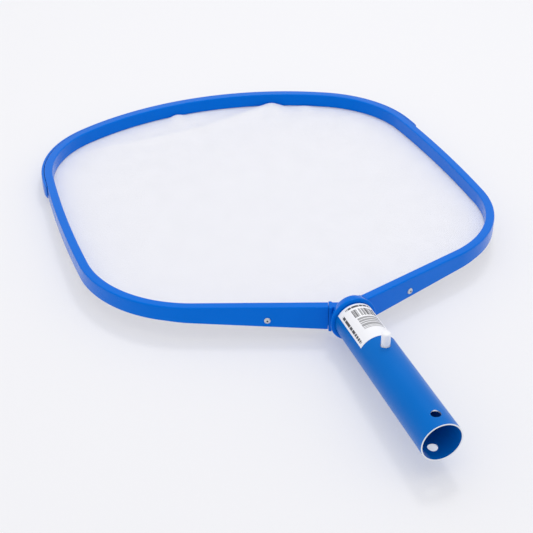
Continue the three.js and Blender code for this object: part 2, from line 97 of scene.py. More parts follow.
press = next(joint for joint in frame["joints"] if joint["name"] == "upper_button_press")
up = -Vector(press["axis"]).normalized()
right = Vector((1, 0, 0))
forward = up.cross(right)
tube_low, tube_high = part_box("handle_tube")
tube_front = COLLAR_REAR + SOCKET_DEPTH - CLEARANCE
tube_mouth = tube_front - TUBE_LENGTH
turn = Matrix((right, forward, up)).transposed().to_4x4()
centre_drawn = Vector((0, (tube_front + tube_mouth) / 2, 0))
to_row = Matrix.Translation((tube_low + tube_high) / 2) @ turn @ Matrix.Translation(-centre_drawn)
print("tipped forward by", round(math.degrees(math.asin(up.y)), 2), "degrees")


def place(piece, body="skimmer"):
    """Turns a piece that was drawn on the skimmer's axes into place, and lets it ride on a body."""
    piece.data.transform(to_row)
    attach(piece, body)
    return piece


def stand_in(piece, slot, *nodes):
    """Makes a piece the visible form of the CAD nodes it draws, by hiding them. The slot is not used."""
    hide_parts(*nodes)
    print(piece.name, len(piece.data.polygons), "faces")


# %% [markdown]
# ## The camera
#
# It looks down on the rim from behind the handle, a little from the left. It is set in the
# skimmer's own axes, so that it keeps its view of the rim whatever the skimmer rests on. A long
# lens from half a pace away gives the near tube a mild perspective.

# %% Set up the camera
LENS = 79.2
CAMERA_TURN = math.radians(19.65)
CAMERA_DOWN = math.radians(32.98)
CAMERA_PLACE = Vector((-282.7, -616.0, 478.8)) * MM

camera = bpy.data.objects.new("camera", bpy.data.cameras.new("camera"))
bpy.context.scene.collection.objects.link(camera)
aim = Matrix.Rotation(-CAMERA_TURN, 4, "Z") @ Matrix.Rotation(math.pi / 2 - CAMERA_DOWN, 4, "X")
camera.matrix_world = to_row @ Matrix.Translation(CAMERA_PLACE) @ aim
camera.data.lens = LENS
camera.data.sensor_width = 36
bpy.context.scene.camera = camera
print("camera at", [round(c, 3) for c in camera.matrix_world.translation])

# %% [markdown]
# ## The rim's route
#
# Seen from above, each half of the rim is a straight run from the hub and four arcs that meet
# smoothly: the rear corner, the nearly straight side, the front corner and the front. Drawing it
# as arcs from a few radii keeps the curve fair, where a spline through points would wobble.

# %% Draw the outline as a line and four arcs
RIM_WIDTH = 340 * MM
RIM_LENGTH = 367 * MM
FRONT_RADIUS = 247 * MM
FRONT_CORNER_RADIUS = 94 * MM
SIDE_RADIUS = 1100 * MM
WIDEST_FROM_REAR = 176 * MM
REAR_CORNER_RADIUS = 92 * MM
REAR_SLOPE = math.radians(18.5)


def ease(value, low, high):
    """A smooth step from 0 at low to 1 at high."""
    t = min(1.0, max(0.0, (value - low) / (high - low)))
    return t * t * (3 - 2 * t)


def unit(angle):
    return np.array([math.cos(angle), math.sin(angle)])


def corner_centre(centre_a, radius_a, centre_b, radius_b, radius):
    """The centre of the circle that rounds off the corner between two larger circles."""
    a, b = radius_a - radius, radius_b - radius
    between = centre_b - centre_a
    distance = np.linalg.norm(between)
    along = (distance**2 + a**2 - b**2) / (2 * distance)
    step = between / distance
    side = np.array([step[1], -step[0]])
    return centre_a + along * step + math.sqrt(a**2 - along**2) * side


def half_outline():
    """The pieces of one half: (length, function from a distance to a point and outward way)."""
    run_way = unit(REAR_SLOPE)
    inward = unit(REAR_SLOPE + math.pi / 2)
    side_centre = np.array([RIM_WIDTH / 2 - SIDE_RADIUS, WIDEST_FROM_REAR])
    front_centre = np.array([0, RIM_LENGTH - FRONT_RADIUS])
    start = REAR_CORNER_RADIUS * inward - side_centre
    half = start @ run_way
    run = -half + math.sqrt(half**2 - start @ start + (SIDE_RADIUS - REAR_CORNER_RADIUS) ** 2)
    rear_centre = run * run_way + REAR_CORNER_RADIUS * inward
    front_corner = corner_centre(
        front_centre, FRONT_RADIUS, side_centre, SIDE_RADIUS, FRONT_CORNER_RADIUS
    )

    def angle(vector):
        return math.atan2(vector[1], vector[0])

    turns = [
        (rear_centre, REAR_CORNER_RADIUS, REAR_SLOPE - math.pi / 2),
        (side_centre, SIDE_RADIUS, angle(rear_centre - side_centre)),
        (front_corner, FRONT_CORNER_RADIUS, angle(front_corner - side_centre)),
        (front_centre, FRONT_RADIUS, angle(front_corner - front_centre)),
    ]
    ends = [turned[2] for turned in turns[1:]] + [math.pi / 2]
    pieces = [(run, lambda d: (d * run_way, -inward))]
    for (centre, radius, first), last in zip(turns, ends):

        def arc(d, centre=centre, radius=radius, first=first):
            outward = unit(first + d / radius)
            return centre + radius * outward, outward

        pieces.append((radius * (last - first), arc))
    return pieces


outline = half_outline()
half_route = sum(length for length, _ in outline)
full_route = 2 * half_route
print("rim's route, mm:", round(full_route / MM, 1))

# %% [markdown]
# The rim is about two thirds taller at the hub than at the front. So a place on the route also knows how
# near the hub it is, from 1 at the hub down to 0 where the taper ends.

# %% Places along the route
TAPER_LENGTH = 130 * MM
RIM_TOP = 7.3 * MM
RIM_BOTTOM = -4.8 * MM
HUB_TOP_DROP = 0.7 * MM
HUB_BOTTOM_DROP = 8.7 * MM


def route_at(distance):
    """A place on the whole route: from the hub, along the right side, round and back."""
    mirrored = distance > half_route
    from_hub = full_route - distance if mirrored else distance
    left = from_hub
    for length, at in outline[:-1]:
        if left <= length:
            break
        left -= length
    else:
        length, at = outline[-1]
    point, outward = at(left)
    flip = np.array([-1 if mirrored else 1, 1])
    taper = max(0.0, 1 - from_hub / TAPER_LENGTH)
    return {"point": point * flip, "outward": outward * flip, "taper": taper, "distance": distance}


def route(start, end, step):
    count = max(2, math.ceil((end - start) / step))
    return [route_at(start + (end - start) * i / count) for i in range(count + 1)]


def bottom_at(place_on_route):
    return RIM_BOTTOM - HUB_BOTTOM_DROP * place_on_route["taper"]


def inset_point(place_on_route, inset, height):
    """A point that lies inside the rim's outer face by inset, at a height."""
    x, y = place_on_route["point"] - inset * place_on_route["outward"]
    return (x, y, height)


# %% [markdown]
# ## Sections with rounded corners
#
# Every moulding here is a section carried along a path or turned round an axis. This helper
# rounds each corner of a polygon with its own radius, and adds a point close to each end of a
# flat, so that the flat shades as a flat and only the radius rolls the light.

# %% Round the corners of a section
CORNER_STEPS = 6
SUPPORT = 0.25


def rounded(corners, closed=True):
    """corners is a list of (x, y, radius). Returns the outline with each corner as an arc."""
    points = []
    count = len(corners)
    for i, (x, y, radius) in enumerate(corners):
        here = Vector((x, y))
        if radius == 0 or (not closed and i in (0, count - 1)):
            points.append(here)
            continue
        before = (Vector(corners[i - 1][:2]) - here).normalized()
        after = (Vector(corners[(i + 1) % count][:2]) - here).normalized()
        half = before.angle(after) / 2
        reach = radius / math.tan(half)
        centre = here + (before + after).normalized() * (radius / math.sin(half))
        first, last = here + before * reach, here + after * reach
        start = math.atan2(*(first - centre).yx)
        sweep = (math.atan2(*(last - centre).yx) - start + math.pi) % (2 * math.pi) - math.pi
        points.append(first + before * SUPPORT * radius)
        for step in range(CORNER_STEPS + 1):
            angle = start + sweep * step / CORNER_STEPS
            points.append(centre + radius * Vector((math.cos(angle), math.sin(angle))))
        points.append(last + after * SUPPORT * radius)
    return [(point.x, point.y) for point in points]


# %% [markdown]
# ## Ways to make a mesh
#
# A few helpers serve the whole file. They wrap points and faces in an object, shade it, point its
# faces outwards, turn a profile round an axis and join shells. One turns an evaluated object into
# a plain mesh, so that no modifier is left on a finished piece.

# %% Mesh helpers
SMOOTH_ANGLE = math.radians(38)
SAME_POINT = 1e-7


def new_object(name, points, faces=(), edges=()):
    mesh = bpy.data.meshes.new(name)
    mesh.from_pydata(points, edges, faces)
    mesh.update()
    piece = bpy.data.objects.new(name, mesh)
    bpy.context.scene.collection.objects.link(piece)
    return piece


def shade(piece, angle=SMOOTH_ANGLE):
    """Smooth shading, apart from edges sharper than the angle."""
    mesh = piece.data
    mesh.shade_smooth()
    mesh.set_sharp_from_angle(angle=angle)
    return piece


def face_outwards(piece, merge=True, upwards=False):
    """Points every face out of its shell, after merging doubles, or an open sheet's faces up."""
    work = bmesh.new()
    work.from_mesh(piece.data)
    if merge:
        bmesh.ops.remove_doubles(work, verts=work.verts, dist=SAME_POINT)
    bmesh.ops.recalc_face_normals(work, faces=work.faces)
    if upwards and sum(face.normal.z for face in work.faces) < 0:
        bmesh.ops.reverse_faces(work, faces=work.faces)
    work.to_mesh(piece.data)
    work.free()
    return piece


def baked(piece):
    """Replaces an object's mesh by what its modifiers make of it, and removes them."""
    graph = bpy.context.evaluated_depsgraph_get()
    mesh = bpy.data.meshes.new_from_object(piece.evaluated_get(graph), depsgraph=graph)
    piece.modifiers.clear()
    piece.data = mesh
    return piece


def turned(name, profile, steps, along="y"):
    """A round piece from a profile of (radius, distance), turned about the tube's axis or up."""
    points, faces = [], []
    count = len(profile)
    for i in range(steps):
        angle = 2 * math.pi * i / steps
        c, s = math.cos(angle), math.sin(angle)
        for r, d in profile:
            points.append((r * c, d, r * s) if along == "y" else (r * c, r * s, d))
    for i in range(steps):
        a, b = i * count, ((i + 1) % steps) * count
        for j in range(count if profile[0][0] > 0 else count - 1):
            k = (j + 1) % count
            faces.append((a + j, a + k, b + k, b + j))
    return face_outwards(new_object(name, points, faces))


def joined(name, *pieces):
    """Several meshes as the separate shells of one object."""
    work = bmesh.new()
    for piece in pieces:
        work.from_mesh(piece.data)
        bpy.data.objects.remove(piece)
    whole = new_object(name, [])
    work.to_mesh(whole.data)
    work.free()
    return whole


# %% [markdown]
# ## Finishes
#
# Each finish is a Principled shader whose colour, roughness and bump come from noise at the
# size that the real surface shows. What several finishes share, the fine unevenness of a
# moulded or coated skin with a few dull smudges, is one node group with its own numbers in each
# material.

# %% A shader group for a moulded or coated skin
SMUDGE_RANGE = (0.42, 0.68)
GRAIN_ROUGHNESS = 0.12


def group_with(name, inputs, outputs):
    tree = bpy.data.node_groups.new(name, "ShaderNodeTree")
    for label, kind, default in inputs:
        socket = tree.interface.new_socket(label, in_out="INPUT", socket_type=kind)
        if default is not None:
            socket.default_value = default
    for label, kind in outputs:
        tree.interface.new_socket(label, in_out="OUTPUT", socket_type=kind)
    start = tree.nodes.new("NodeGroupInput")
    end = tree.nodes.new("NodeGroupOutput")
    return tree, start, end


class Wiring:
    """A short way to add nodes to a tree and link them."""

    def __init__(self, tree):
        self.tree = tree

    def link(self, source, target):
        self.tree.links.new(source, target)

    def node(self, kind, settings=None, **inputs):
        node = self.tree.nodes.new(kind)
        for key, value in (settings or {}).items():
            setattr(node, key, value)
        for key, value in inputs.items():
            socket = node.inputs[int(key[1:]) if key[0] == "_" else key.replace("_", " ")]
            if isinstance(value, bpy.types.NodeSocket):
                self.link(value, socket)
            else:
                socket.default_value = value
        return node

    def math(self, operation, first, second=0.0):
        node = self.node("ShaderNodeMath", {"operation": operation}, _0=first, _1=second)
        return node.outputs[0]

    def times(self, first, second):
        return self.math("MULTIPLY", first, second)

    def plus(self, first, second):
        return self.math("ADD", first, second)

    def minus(self, first, second):
        return self.math("SUBTRACT", first, second)

    def mix(self, share, first, second):
        node = self.node("ShaderNodeMix", {"data_type": "RGBA"})
        for index, value in ((0, share), (6, first), (7, second)):
            if isinstance(value, bpy.types.NodeSocket):
                self.link(value, node.inputs[index])
            else:
                node.inputs[index].default_value = value
        return node.outputs[2]

    def span(self, value, low, high, to_low, to_high):
        given = {"_0": value, "_1": low, "_2": high, "_3": to_low, "_4": to_high}
        return self.node("ShaderNodeMapRange", **given).outputs[0]


def skin_group():
    """Grain, smudges and colour drift. Scales are in cells for each metre."""
    tree, start, end = group_with(
        "moulded_skin",
        [
            ("Vector", "NodeSocketVector", None),
            ("Colour", "NodeSocketColor", (0.5, 0.5, 0.5, 1)),
            ("Roughness", "NodeSocketFloat", 0.3),
            ("Grain Scale", "NodeSocketFloat", 900.0),
            ("Smudge Scale", "NodeSocketFloat", 30.0),
            ("Smudge Amount", "NodeSocketFloat", 0.1),
            ("Colour Drift", "NodeSocketFloat", 0.08),
        ],
        [("Colour", "NodeSocketColor"), ("Roughness", "NodeSocketFloat"), ("Height", "NodeSocketFloat")],
    )
    wire = Wiring(tree)
    given = start.outputs
    grain = wire.node(
        "ShaderNodeTexNoise", Vector=given["Vector"], Scale=given["Grain Scale"], Detail=3.0
    )
    smudge = wire.node(
        "ShaderNodeTexNoise",
        Vector=given["Vector"],
        Scale=given["Smudge Scale"],
        Detail=5.0,
        Roughness=0.6,
    )
    patch = wire.span(smudge.outputs[0], *SMUDGE_RANGE, 0.0, 1.0)
    dull = wire.times(patch, given["Smudge Amount"])
    fine = wire.times(wire.minus(grain.outputs[0], 0.5), GRAIN_ROUGHNESS)
    wire.link(wire.plus(wire.plus(given["Roughness"], dull), fine), end.inputs["Roughness"])
    drift = wire.times(wire.minus(smudge.outputs[0], 0.5), given["Colour Drift"])
    shaded = wire.plus(drift, 1.0)
    shade_node = wire.node("ShaderNodeHueSaturation", Value=shaded, Color=given["Colour"])
    wire.link(shade_node.outputs[0], end.inputs["Colour"])
    wire.link(grain.outputs[0], end.inputs["Height"])
    return tree


skin = skin_group()


def new_material(name):
    material = bpy.data.materials.new(name)
    material.use_nodes = True
    wire = Wiring(material.node_tree)
    shader = material.node_tree.nodes["Principled BSDF"]
    return material, wire, shader


def skinned(name, colour, roughness, bump, **amounts):
    """A material with the skin group on object coordinates. Bump is the grain's height in metres."""
    material, wire, shader = new_material(name)
    place_on = wire.node("ShaderNodeTexCoord").outputs["Object"]
    group = wire.node(
        "ShaderNodeGroup",
        {"node_tree": skin},
        Vector=place_on,
        Colour=(*colour, 1),
        Roughness=roughness,
    )
    for key, value in amounts.items():
        group.inputs[key.replace("_", " ").title()].default_value = value
    relief = wire.node("ShaderNodeBump", Height=group.outputs["Height"], Distance=bump, Strength=1.0)
    wire.link(group.outputs["Colour"], shader.inputs["Base Color"])
    wire.link(group.outputs["Roughness"], shader.inputs["Roughness"])
    wire.link(relief.outputs[0], shader.inputs["Normal"])
    return material, wire, shader, group


# %% [markdown]
# The rim and hub are one glossy blue plastic. Deep colour under a clear, slightly uneven skin is
# what makes moulded plastic look like plastic, so it keeps a normal specular level and a low
# roughness that varies.

# %% Plastics and rivet metals
BLUE = (0.0, 0.155, 0.7)
BLUE_GLEAM = (0.12, 0.5, 1.0, 1)
SOFT_GLEAM_IOR = 1.33


def gleaming(shader):
    """Blue plastic and dyed metal reflect a bluish and rather weak light."""
    shader.inputs["Specular Tint"].default_value = BLUE_GLEAM
    shader.inputs["IOR"].default_value = SOFT_GLEAM_IOR


blue_plastic, _, blue_shader, _ = skinned(
    "blue_plastic", BLUE, 0.16, 0.000012, grain_scale=1200, smudge_amount=0.12, colour_drift=0.12
)
gleaming(blue_shader)
white_plastic, _, white_shader, _ = skinned(
    "white_plastic", (0.96, 0.97, 1.0), 0.32, 0.00003, grain_scale=1500
)
white_shader.inputs["Subsurface Weight"].default_value = 0.5
white_shader.inputs["Subsurface Radius"].default_value = (1.0, 1.0, 1.0)
white_shader.inputs["Subsurface Scale"].default_value = 0.004

rivet_metal, _, rivet_shader, _ = skinned(
    "rivet_metal", (0.62, 0.63, 0.65), 0.26, 0.00002, grain_scale=2500, smudge_scale=400, smudge_amount=0.2
)
rivet_shader.inputs["Metallic"].default_value = 1.0
# The stems are coloured near black: partly dark steel, partly painted shade of the holes they sit in.
stem_steel_and_hole_shade, _, stem_shader, _ = skinned(
    "stem_steel_and_hole_shade", (0.12, 0.12, 0.125), 0.45, 0.00005, grain_scale=3000, smudge_scale=600, smudge_amount=0.2
)
stem_shader.inputs["Metallic"].default_value = 1.0

# %% [markdown]
# The tube's colour is a dye in the aluminium's skin, so it has a satin sheen with fine lines
# along the drawn tube. Where the bare attribute says that metal was cut after dyeing, the colour
# goes and the brushed aluminium shows.

# %% Dyed tube, strip and paper
TUBE_BLUE = (0.0, 0.148, 0.56)
BARE_METAL = (0.86, 0.87, 0.88, 1)
tube_finish, wire, shader, group = skinned(
    "tube_finish", TUBE_BLUE, 0.3, 0.00001, grain_scale=1800, smudge_scale=24, smudge_amount=0.08
)
bare = wire.node("ShaderNodeAttribute", {"attribute_name": "bare"}).outputs["Fac"]
gleaming(shader)
wire.link(wire.mix(bare, group.outputs["Colour"], BARE_METAL), shader.inputs["Base Color"])
wire.link(wire.times(bare, 0.7), shader.inputs["Metallic"])
strip_plastic, _, strip_shader, _ = skinned(
    "strip_plastic", BLUE, 0.27, 0.00003, grain_scale=1000, smudge_amount=0.12, colour_drift=0.14
)
gleaming(strip_shader)

# %% [markdown]
# The label's print is drawn on its UV map. A band is a range of one coordinate, and white noise
# on whole steps of the other coordinate breaks it into bars of uneven width.

# %% Printed paper
INK_BLACK = (0.02, 0.02, 0.025, 1)

paper, wire, shader, group = skinned(
    "label_paper", (0.93, 0.93, 0.95), 0.5, 0.00003, grain_scale=3500, smudge_amount=0.05, colour_drift=0.04
)
print_map = wire.node("ShaderNodeUVMap", {"uv_map": "print"})
print_place = wire.node("ShaderNodeSeparateXYZ", _0=print_map.outputs[0])
across, down = print_place.outputs[0], print_place.outputs[1]


def between(value, low, high):
    return wire.times(wire.math("GREATER_THAN", value, low), wire.math("LESS_THAN", value, high))


def bars(value, steps, share, seed):
    cell = wire.plus(wire.math("FLOOR", wire.times(value, steps)), seed)
    chance = wire.node("ShaderNodeTexWhiteNoise", {"noise_dimensions": "1D"}, W=cell)
    return wire.math("LESS_THAN", chance.outputs[0], share)


def block(left, right_edge, top, bottom):
    return wire.times(between(across, left, right_edge), between(down, top, bottom))


PRINT_BLOCKS = [
    (block(0.2, 0.84, 0.045, 0.095), bars(across, 64, 0.74, 3), 0.95),
    (block(0.05, 0.115, 0.13, 0.93), bars(down, 60, 0.74, 11), 0.95),
    (block(0.3, 0.86, 0.15, 0.36), bars(across, 120, 0.62, 23), 0.85),
    (block(0.32, 0.86, 0.4, 0.74), bars(down, 60, 0.62, 31), 0.62),
]
ink = None
for area, pattern, strength in PRINT_BLOCKS:
    layer = wire.times(wire.times(area, pattern), strength)
    ink = layer if ink is None else wire.math("MAXIMUM", ink, layer)
wire.link(wire.mix(ink, group.outputs["Colour"], INK_BLACK), shader.inputs["Base Color"])

# %% [markdown]
# ## The rim
#
# The rim is a channel, open below, bent round the outline. A section swept along a path is just
# what Geometry Nodes do best: the route goes in as a line of points that each know how near the
# hub they are, the section as a second curve, and the tree carries one along the other. The same
# tree then stretches the section towards the hub, which a plain sweep can't do. The strip and the
# bead use the same tree.

# %% A Geometry Nodes tree that sweeps a section along the route


def sweep_tree():
    tree = bpy.data.node_groups.new("sweep_along_route", "GeometryNodeTree")
    sockets = tree.interface
    sockets.new_socket("Geometry", in_out="INPUT", socket_type="NodeSocketGeometry")
    for label, kind in (
        ("Section", "NodeSocketObject"),
        ("Top Drop", "NodeSocketFloat"),
        ("Bottom Drop", "NodeSocketFloat"),
        ("Middle Height", "NodeSocketFloat"),
        ("Material", "NodeSocketMaterial"),
    ):
        sockets.new_socket(label, in_out="INPUT", socket_type=kind)
    sockets.new_socket("Geometry", in_out="OUTPUT", socket_type="NodeSocketGeometry")
    wire = Wiring(tree)
    start = tree.nodes.new("NodeGroupInput").outputs
    end = tree.nodes.new("NodeGroupOutput")
    path = wire.node("GeometryNodeMeshToCurve", Mesh=start["Geometry"])
    level = wire.node("GeometryNodeSetCurveNormal", {"mode": "Z_UP"}, Curve=path.outputs[0])
    section = wire.node(
        "GeometryNodeObjectInfo", {"transform_space": "ORIGINAL"}, Object=start["Section"]
    )
    loop = wire.node("GeometryNodeMeshToCurve", Mesh=section.outputs["Geometry"])
    skin_mesh = wire.node(
        "GeometryNodeCurveToMesh", Curve=level.outputs[0], _1=loop.outputs[0], Fill_Caps=True
    )
    taper = wire.node("GeometryNodeInputNamedAttribute", {"data_type": "FLOAT"}, Name="taper")
    position = wire.node("GeometryNodeInputPosition").outputs[0]
    height = wire.node("ShaderNodeSeparateXYZ", _0=position)
    upper = wire.math("GREATER_THAN", height.outputs[2], start["Middle Height"])
    lower = wire.minus(1.0, upper)
    top_drop = wire.times(upper, start["Top Drop"])
    bottom_drop = wire.times(lower, start["Bottom Drop"])
    drop = wire.plus(top_drop, bottom_drop)
    shift = wire.times(wire.times(drop, taper.outputs[0]), -1.0)
    offset = wire.node("ShaderNodeCombineXYZ", Z=shift)
    moved = wire.node("GeometryNodeSetPosition", Geometry=skin_mesh.outputs[0], Offset=offset.outputs[0])
    real = wire.node("GeometryNodeRealizeInstances", Geometry=moved.outputs[0])
    coated = wire.node("GeometryNodeSetMaterial", Geometry=real.outputs[0], Material=start["Material"])
    wire.link(coated.outputs[0], end.inputs[0])
    return tree


sweeper = sweep_tree()


def set_inputs(modifier, values):
    """Sets a Geometry Nodes modifier's inputs, which go by their socket's identifier."""
    for item in modifier.node_group.interface.items_tree:
        if item.in_out == "INPUT" and item.name in values:
            modifier[item.identifier] = values[item.name]


def closed_loop(name, outline_points):
    count = len(outline_points)
    edges = [(i, (i + 1) % count) for i in range(count)]
    return new_object(name, [(x, y, 0) for x, y in outline_points], edges=edges)


def swept(name, stations, section, material, top_drop=0.0, bottom_drop=0.0, middle=0.0):
    """A section of (outward, height) points carried along stations of the route. A sweep along
    this route puts the section's Y downwards, so the heights go in with their sign turned."""
    points = [inset_point(station, 0, 0) for station in stations]
    piece = new_object(name, points, edges=[(i, i + 1) for i in range(len(points) - 1)])
    taper = piece.data.attributes.new("taper", "FLOAT", "POINT")
    taper.data.foreach_set("value", [station["taper"] for station in stations])
    profile = closed_loop(name + "_section", [(outward, -height) for outward, height in section])
    modifier = piece.modifiers.new("sweep", "NODES")
    modifier.node_group = sweeper
    values = {
        "Section": profile,
        "Top Drop": top_drop,
        "Bottom Drop": bottom_drop,
        "Middle Height": middle,
        "Material": material,
    }
    set_inputs(modifier, values)
    baked(piece)
    bpy.data.objects.remove(profile)
    return shade(face_outwards(piece))


# %% Sweep the rim
RIM_THICKNESS = 7 * MM
RIM_WALL = 1.5 * MM
RIM_END = 15.5 * MM
EDGE_ROUND = 1.1 * MM
LIP_ROUND = 0.4 * MM
HEM_ROOM = 0.6 * MM
FINE_STEP = 2 * MM

ceiling = RIM_TOP - RIM_WALL
rim_section = rounded(
    [
        (0, RIM_BOTTOM, LIP_ROUND),
        (0, RIM_TOP, EDGE_ROUND),
        (-RIM_THICKNESS, RIM_TOP, EDGE_ROUND),
        (-RIM_THICKNESS, RIM_BOTTOM + HEM_ROOM, LIP_ROUND),
        (-RIM_THICKNESS + RIM_WALL, RIM_BOTTOM + HEM_ROOM, LIP_ROUND),
        (-RIM_THICKNESS + RIM_WALL, ceiling, LIP_ROUND),
        (-RIM_WALL, ceiling, LIP_ROUND),
        (-RIM_WALL, RIM_BOTTOM, LIP_ROUND),
    ]
)
rim = swept(
    "rim_moulding",
    route(RIM_END, full_route - RIM_END, FINE_STEP),
    rim_section,
    blue_plastic,
    HUB_TOP_DROP,
    HUB_BOTTOM_DROP,
)
stand_in(place(rim), "rim_plastic", "rim")

# %% [markdown]
# ## The leading edge strip
#
# A softer strip is clipped round the front and both front corners, where the rim is pushed
# against the pool wall. It is the same sweep with its own section, and its last few millimetres
# thin down on a quarter round, so that it doesn't catch on anything.

# %% Sweep the strip and thin its tips
STRIP_HALF_LENGTH = 234 * MM
STRIP_GAP = 0.3 * MM
STRIP_THICKNESS = 2.4 * MM
STRIP_BELOW_TOP = 0.5 * MM
STRIP_ABOVE_BOTTOM = 0.6 * MM
STRIP_TIP = 7 * MM
THINNEST_TIP = 0.03
STRIP_ROUND = 0.9 * MM

strip_ends = (half_route - STRIP_HALF_LENGTH, half_route + STRIP_HALF_LENGTH)
strip_stations = route(*strip_ends, FINE_STEP / 2)
strip_top, strip_bottom = RIM_TOP - STRIP_BELOW_TOP, RIM_BOTTOM + STRIP_ABOVE_BOTTOM
strip_section = rounded(
    [
        (STRIP_GAP, strip_bottom, 0),
        (STRIP_THICKNESS, strip_bottom, STRIP_ROUND),
        (STRIP_THICKNESS, strip_top, STRIP_ROUND),
        (STRIP_GAP, strip_top, 0),
    ]
)
strip = swept("strip_moulding", strip_stations, strip_section, strip_plastic)
centres = np.array([station["point"] for station in strip_stations])
outwards = np.array([station["outward"] for station in strip_stations])
along = np.array([station["distance"] for station in strip_stations])
for vertex in strip.data.vertices:
    flat = np.array(vertex.co[:2])
    nearest = np.argmin(((centres - flat) ** 2).sum(axis=1))
    from_tip = STRIP_HALF_LENGTH - abs(along[nearest] - half_route)
    share = min(1.0, max(THINNEST_TIP, from_tip / STRIP_TIP))
    height = (flat - centres[nearest]) @ outwards[nearest] - STRIP_GAP
    shift = height * (math.sqrt(1 - (1 - share) ** 2) - 1) * outwards[nearest]
    vertex.co.x += shift[0]
    vertex.co.y += shift[1]
stand_in(place(strip), "strip_plastic", "leading_edge_strip")

# %% [markdown]
# ## The bead
#
# A cord lies in the rim's channel, with the edge of the net wrapped round it, and holds the net
# as a spline holds the mesh of a window screen. It stops just short of the hub's spigots.

# %% Sweep the bead
BEAD_RADIUS = 1.4 * MM
BEAD_INSET = RIM_THICKNESS / 2
BEAD_ABOVE_BOTTOM = 2.2 * MM
BEAD_START = 81.5 * MM
BEAD_SIDES = 20

bead_section = [
    (
        -BEAD_INSET + BEAD_RADIUS * math.cos(angle),
        RIM_BOTTOM + BEAD_ABOVE_BOTTOM + BEAD_RADIUS * math.sin(angle),
    )
    for angle in (2 * math.pi * i / BEAD_SIDES for i in range(BEAD_SIDES))
]
bead = swept(
    "bead_cord",
    route(BEAD_START, full_route - BEAD_START, 2 * FINE_STEP),
    bead_section,
    white_plastic,
    bottom_drop=HUB_BOTTOM_DROP,
    middle=RIM_TOP,
)
stand_in(place(bead), "bead_cord", "net_bead")

# %% [markdown]
# ## The hub
#
# The hub is one moulding: a domed collar that narrows forwards between the arms, two short arms
# with a proud flange each, a plug inside the tube and a spigot inside each end of the rim. The
# outside has soft fillets where the arms run into the dome. Those come from a voxel remesh of the
# overlapping solids, which is then smoothed. The plug and the spigots stay crisp, because the
# tube and the rim slide over them.

# %% Merge the collar and the arms
COLLAR_RADIUS = 17.2 * MM
COLLAR_ROUND = 1.2 * MM
HUB_NOSE = 6.2 * MM
DOME_START = COLLAR_REAR + 4.2 * MM
FLANGE_FACE = RIM_END - CLEARANCE
FLANGE_THICKNESS = 2.4 * MM
FLANGE_LIP = 1.1 * MM
FLANGE_TOP_SHARE = 0.15
CORE_START = 3 * MM
DOME_STEPS = 24
NARROW_FROM = -5.6 * MM
NARROW_OVER = 4.5 * MM
NARROW_BY = 0.14
HUB_VOXEL = 0.34 * MM
HUB_STEPS = 160
TUBE_RADIUS = 14.3 * MM
BORE_RADIUS = TUBE_RADIUS - 1 * MM
SLIDING_GAP = 0.15 * MM


def arm_pieces(name, start, end, section):
    """The same short sweep on the right arm and on the left arm."""
    return [
        swept(f"{name}_{side}", stations, section, blue_plastic, HUB_TOP_DROP, HUB_BOTTOM_DROP)
        for side, stations in (
            ("right", route(start, end, FINE_STEP)),
            ("left", route(full_route - end, full_route - start, FINE_STEP)),
        )
    ]


def bar_section(grow):
    low, high = RIM_BOTTOM - grow, RIM_TOP + FLANGE_TOP_SHARE * grow
    inner = -RIM_THICKNESS - grow
    return rounded(
        [
            (grow, low, LIP_ROUND),
            (grow, high, EDGE_ROUND),
            (inner, high, EDGE_ROUND),
            (inner, low, LIP_ROUND),
        ]
    )


quarter = [math.pi / 2 * i / DOME_STEPS for i in range(DOME_STEPS)]
dome_length = HUB_NOSE - DOME_START
dome = [(COLLAR_RADIUS * math.cos(a), DOME_START + dome_length * math.sin(a)) for a in quarter]
rear_edge = rounded(
    [(0, COLLAR_REAR, 0), (COLLAR_RADIUS, COLLAR_REAR, COLLAR_ROUND), (*dome[0], 0)], closed=False
)
collar = turned("collar", [*rear_edge[:-1], *dome, (0, HUB_NOSE)], HUB_STEPS)
for vertex in collar.data.vertices:
    vertex.co.x *= 1 - NARROW_BY * ease(vertex.co.y, NARROW_FROM, NARROW_FROM + NARROW_OVER)
cores = arm_pieces("core", CORE_START, FLANGE_FACE - FLANGE_THICKNESS / 2, bar_section(0))
flanges = arm_pieces("flange", FLANGE_FACE - FLANGE_THICKNESS, FLANGE_FACE, bar_section(FLANGE_LIP))
hub = joined("hub_moulding", collar, *cores, *flanges)
melt = hub.modifiers.new("melt", "REMESH")
melt.mode = "VOXEL"
melt.voxel_size = HUB_VOXEL
soften = hub.modifiers.new("soften", "SMOOTH")
soften.factor = 0.5
soften.iterations = 7
baked(hub)
print("hub outside", len(hub.data.polygons), "faces")

# %% [markdown]
# The collar has a shallow socket that hides the cut end of the tube. It is cut after the remesh,
# with an exact boolean, so that the groove round the tube stays finer than a voxel.

# %% Cut the socket, and add the plug and the spigots
PLUG_REAR = COLLAR_REAR - 30 * MM
PLUG_WALL = 2.4 * MM
SPIGOT_END = RIM_END + 62 * MM
SPIGOT_ABOVE_BOTTOM = 2 * MM
JOIN_DEPTH = 0.5 * MM
CUTTER_PAST = 2 * MM
CRISP_ANGLE = math.radians(55)


def cut_away(piece, cutter):
    cutting = piece.modifiers.new("cut", "BOOLEAN")
    cutting.object = cutter
    cutting.solver = "EXACT"
    baked(piece)
    bpy.data.objects.remove(cutter)
    return piece


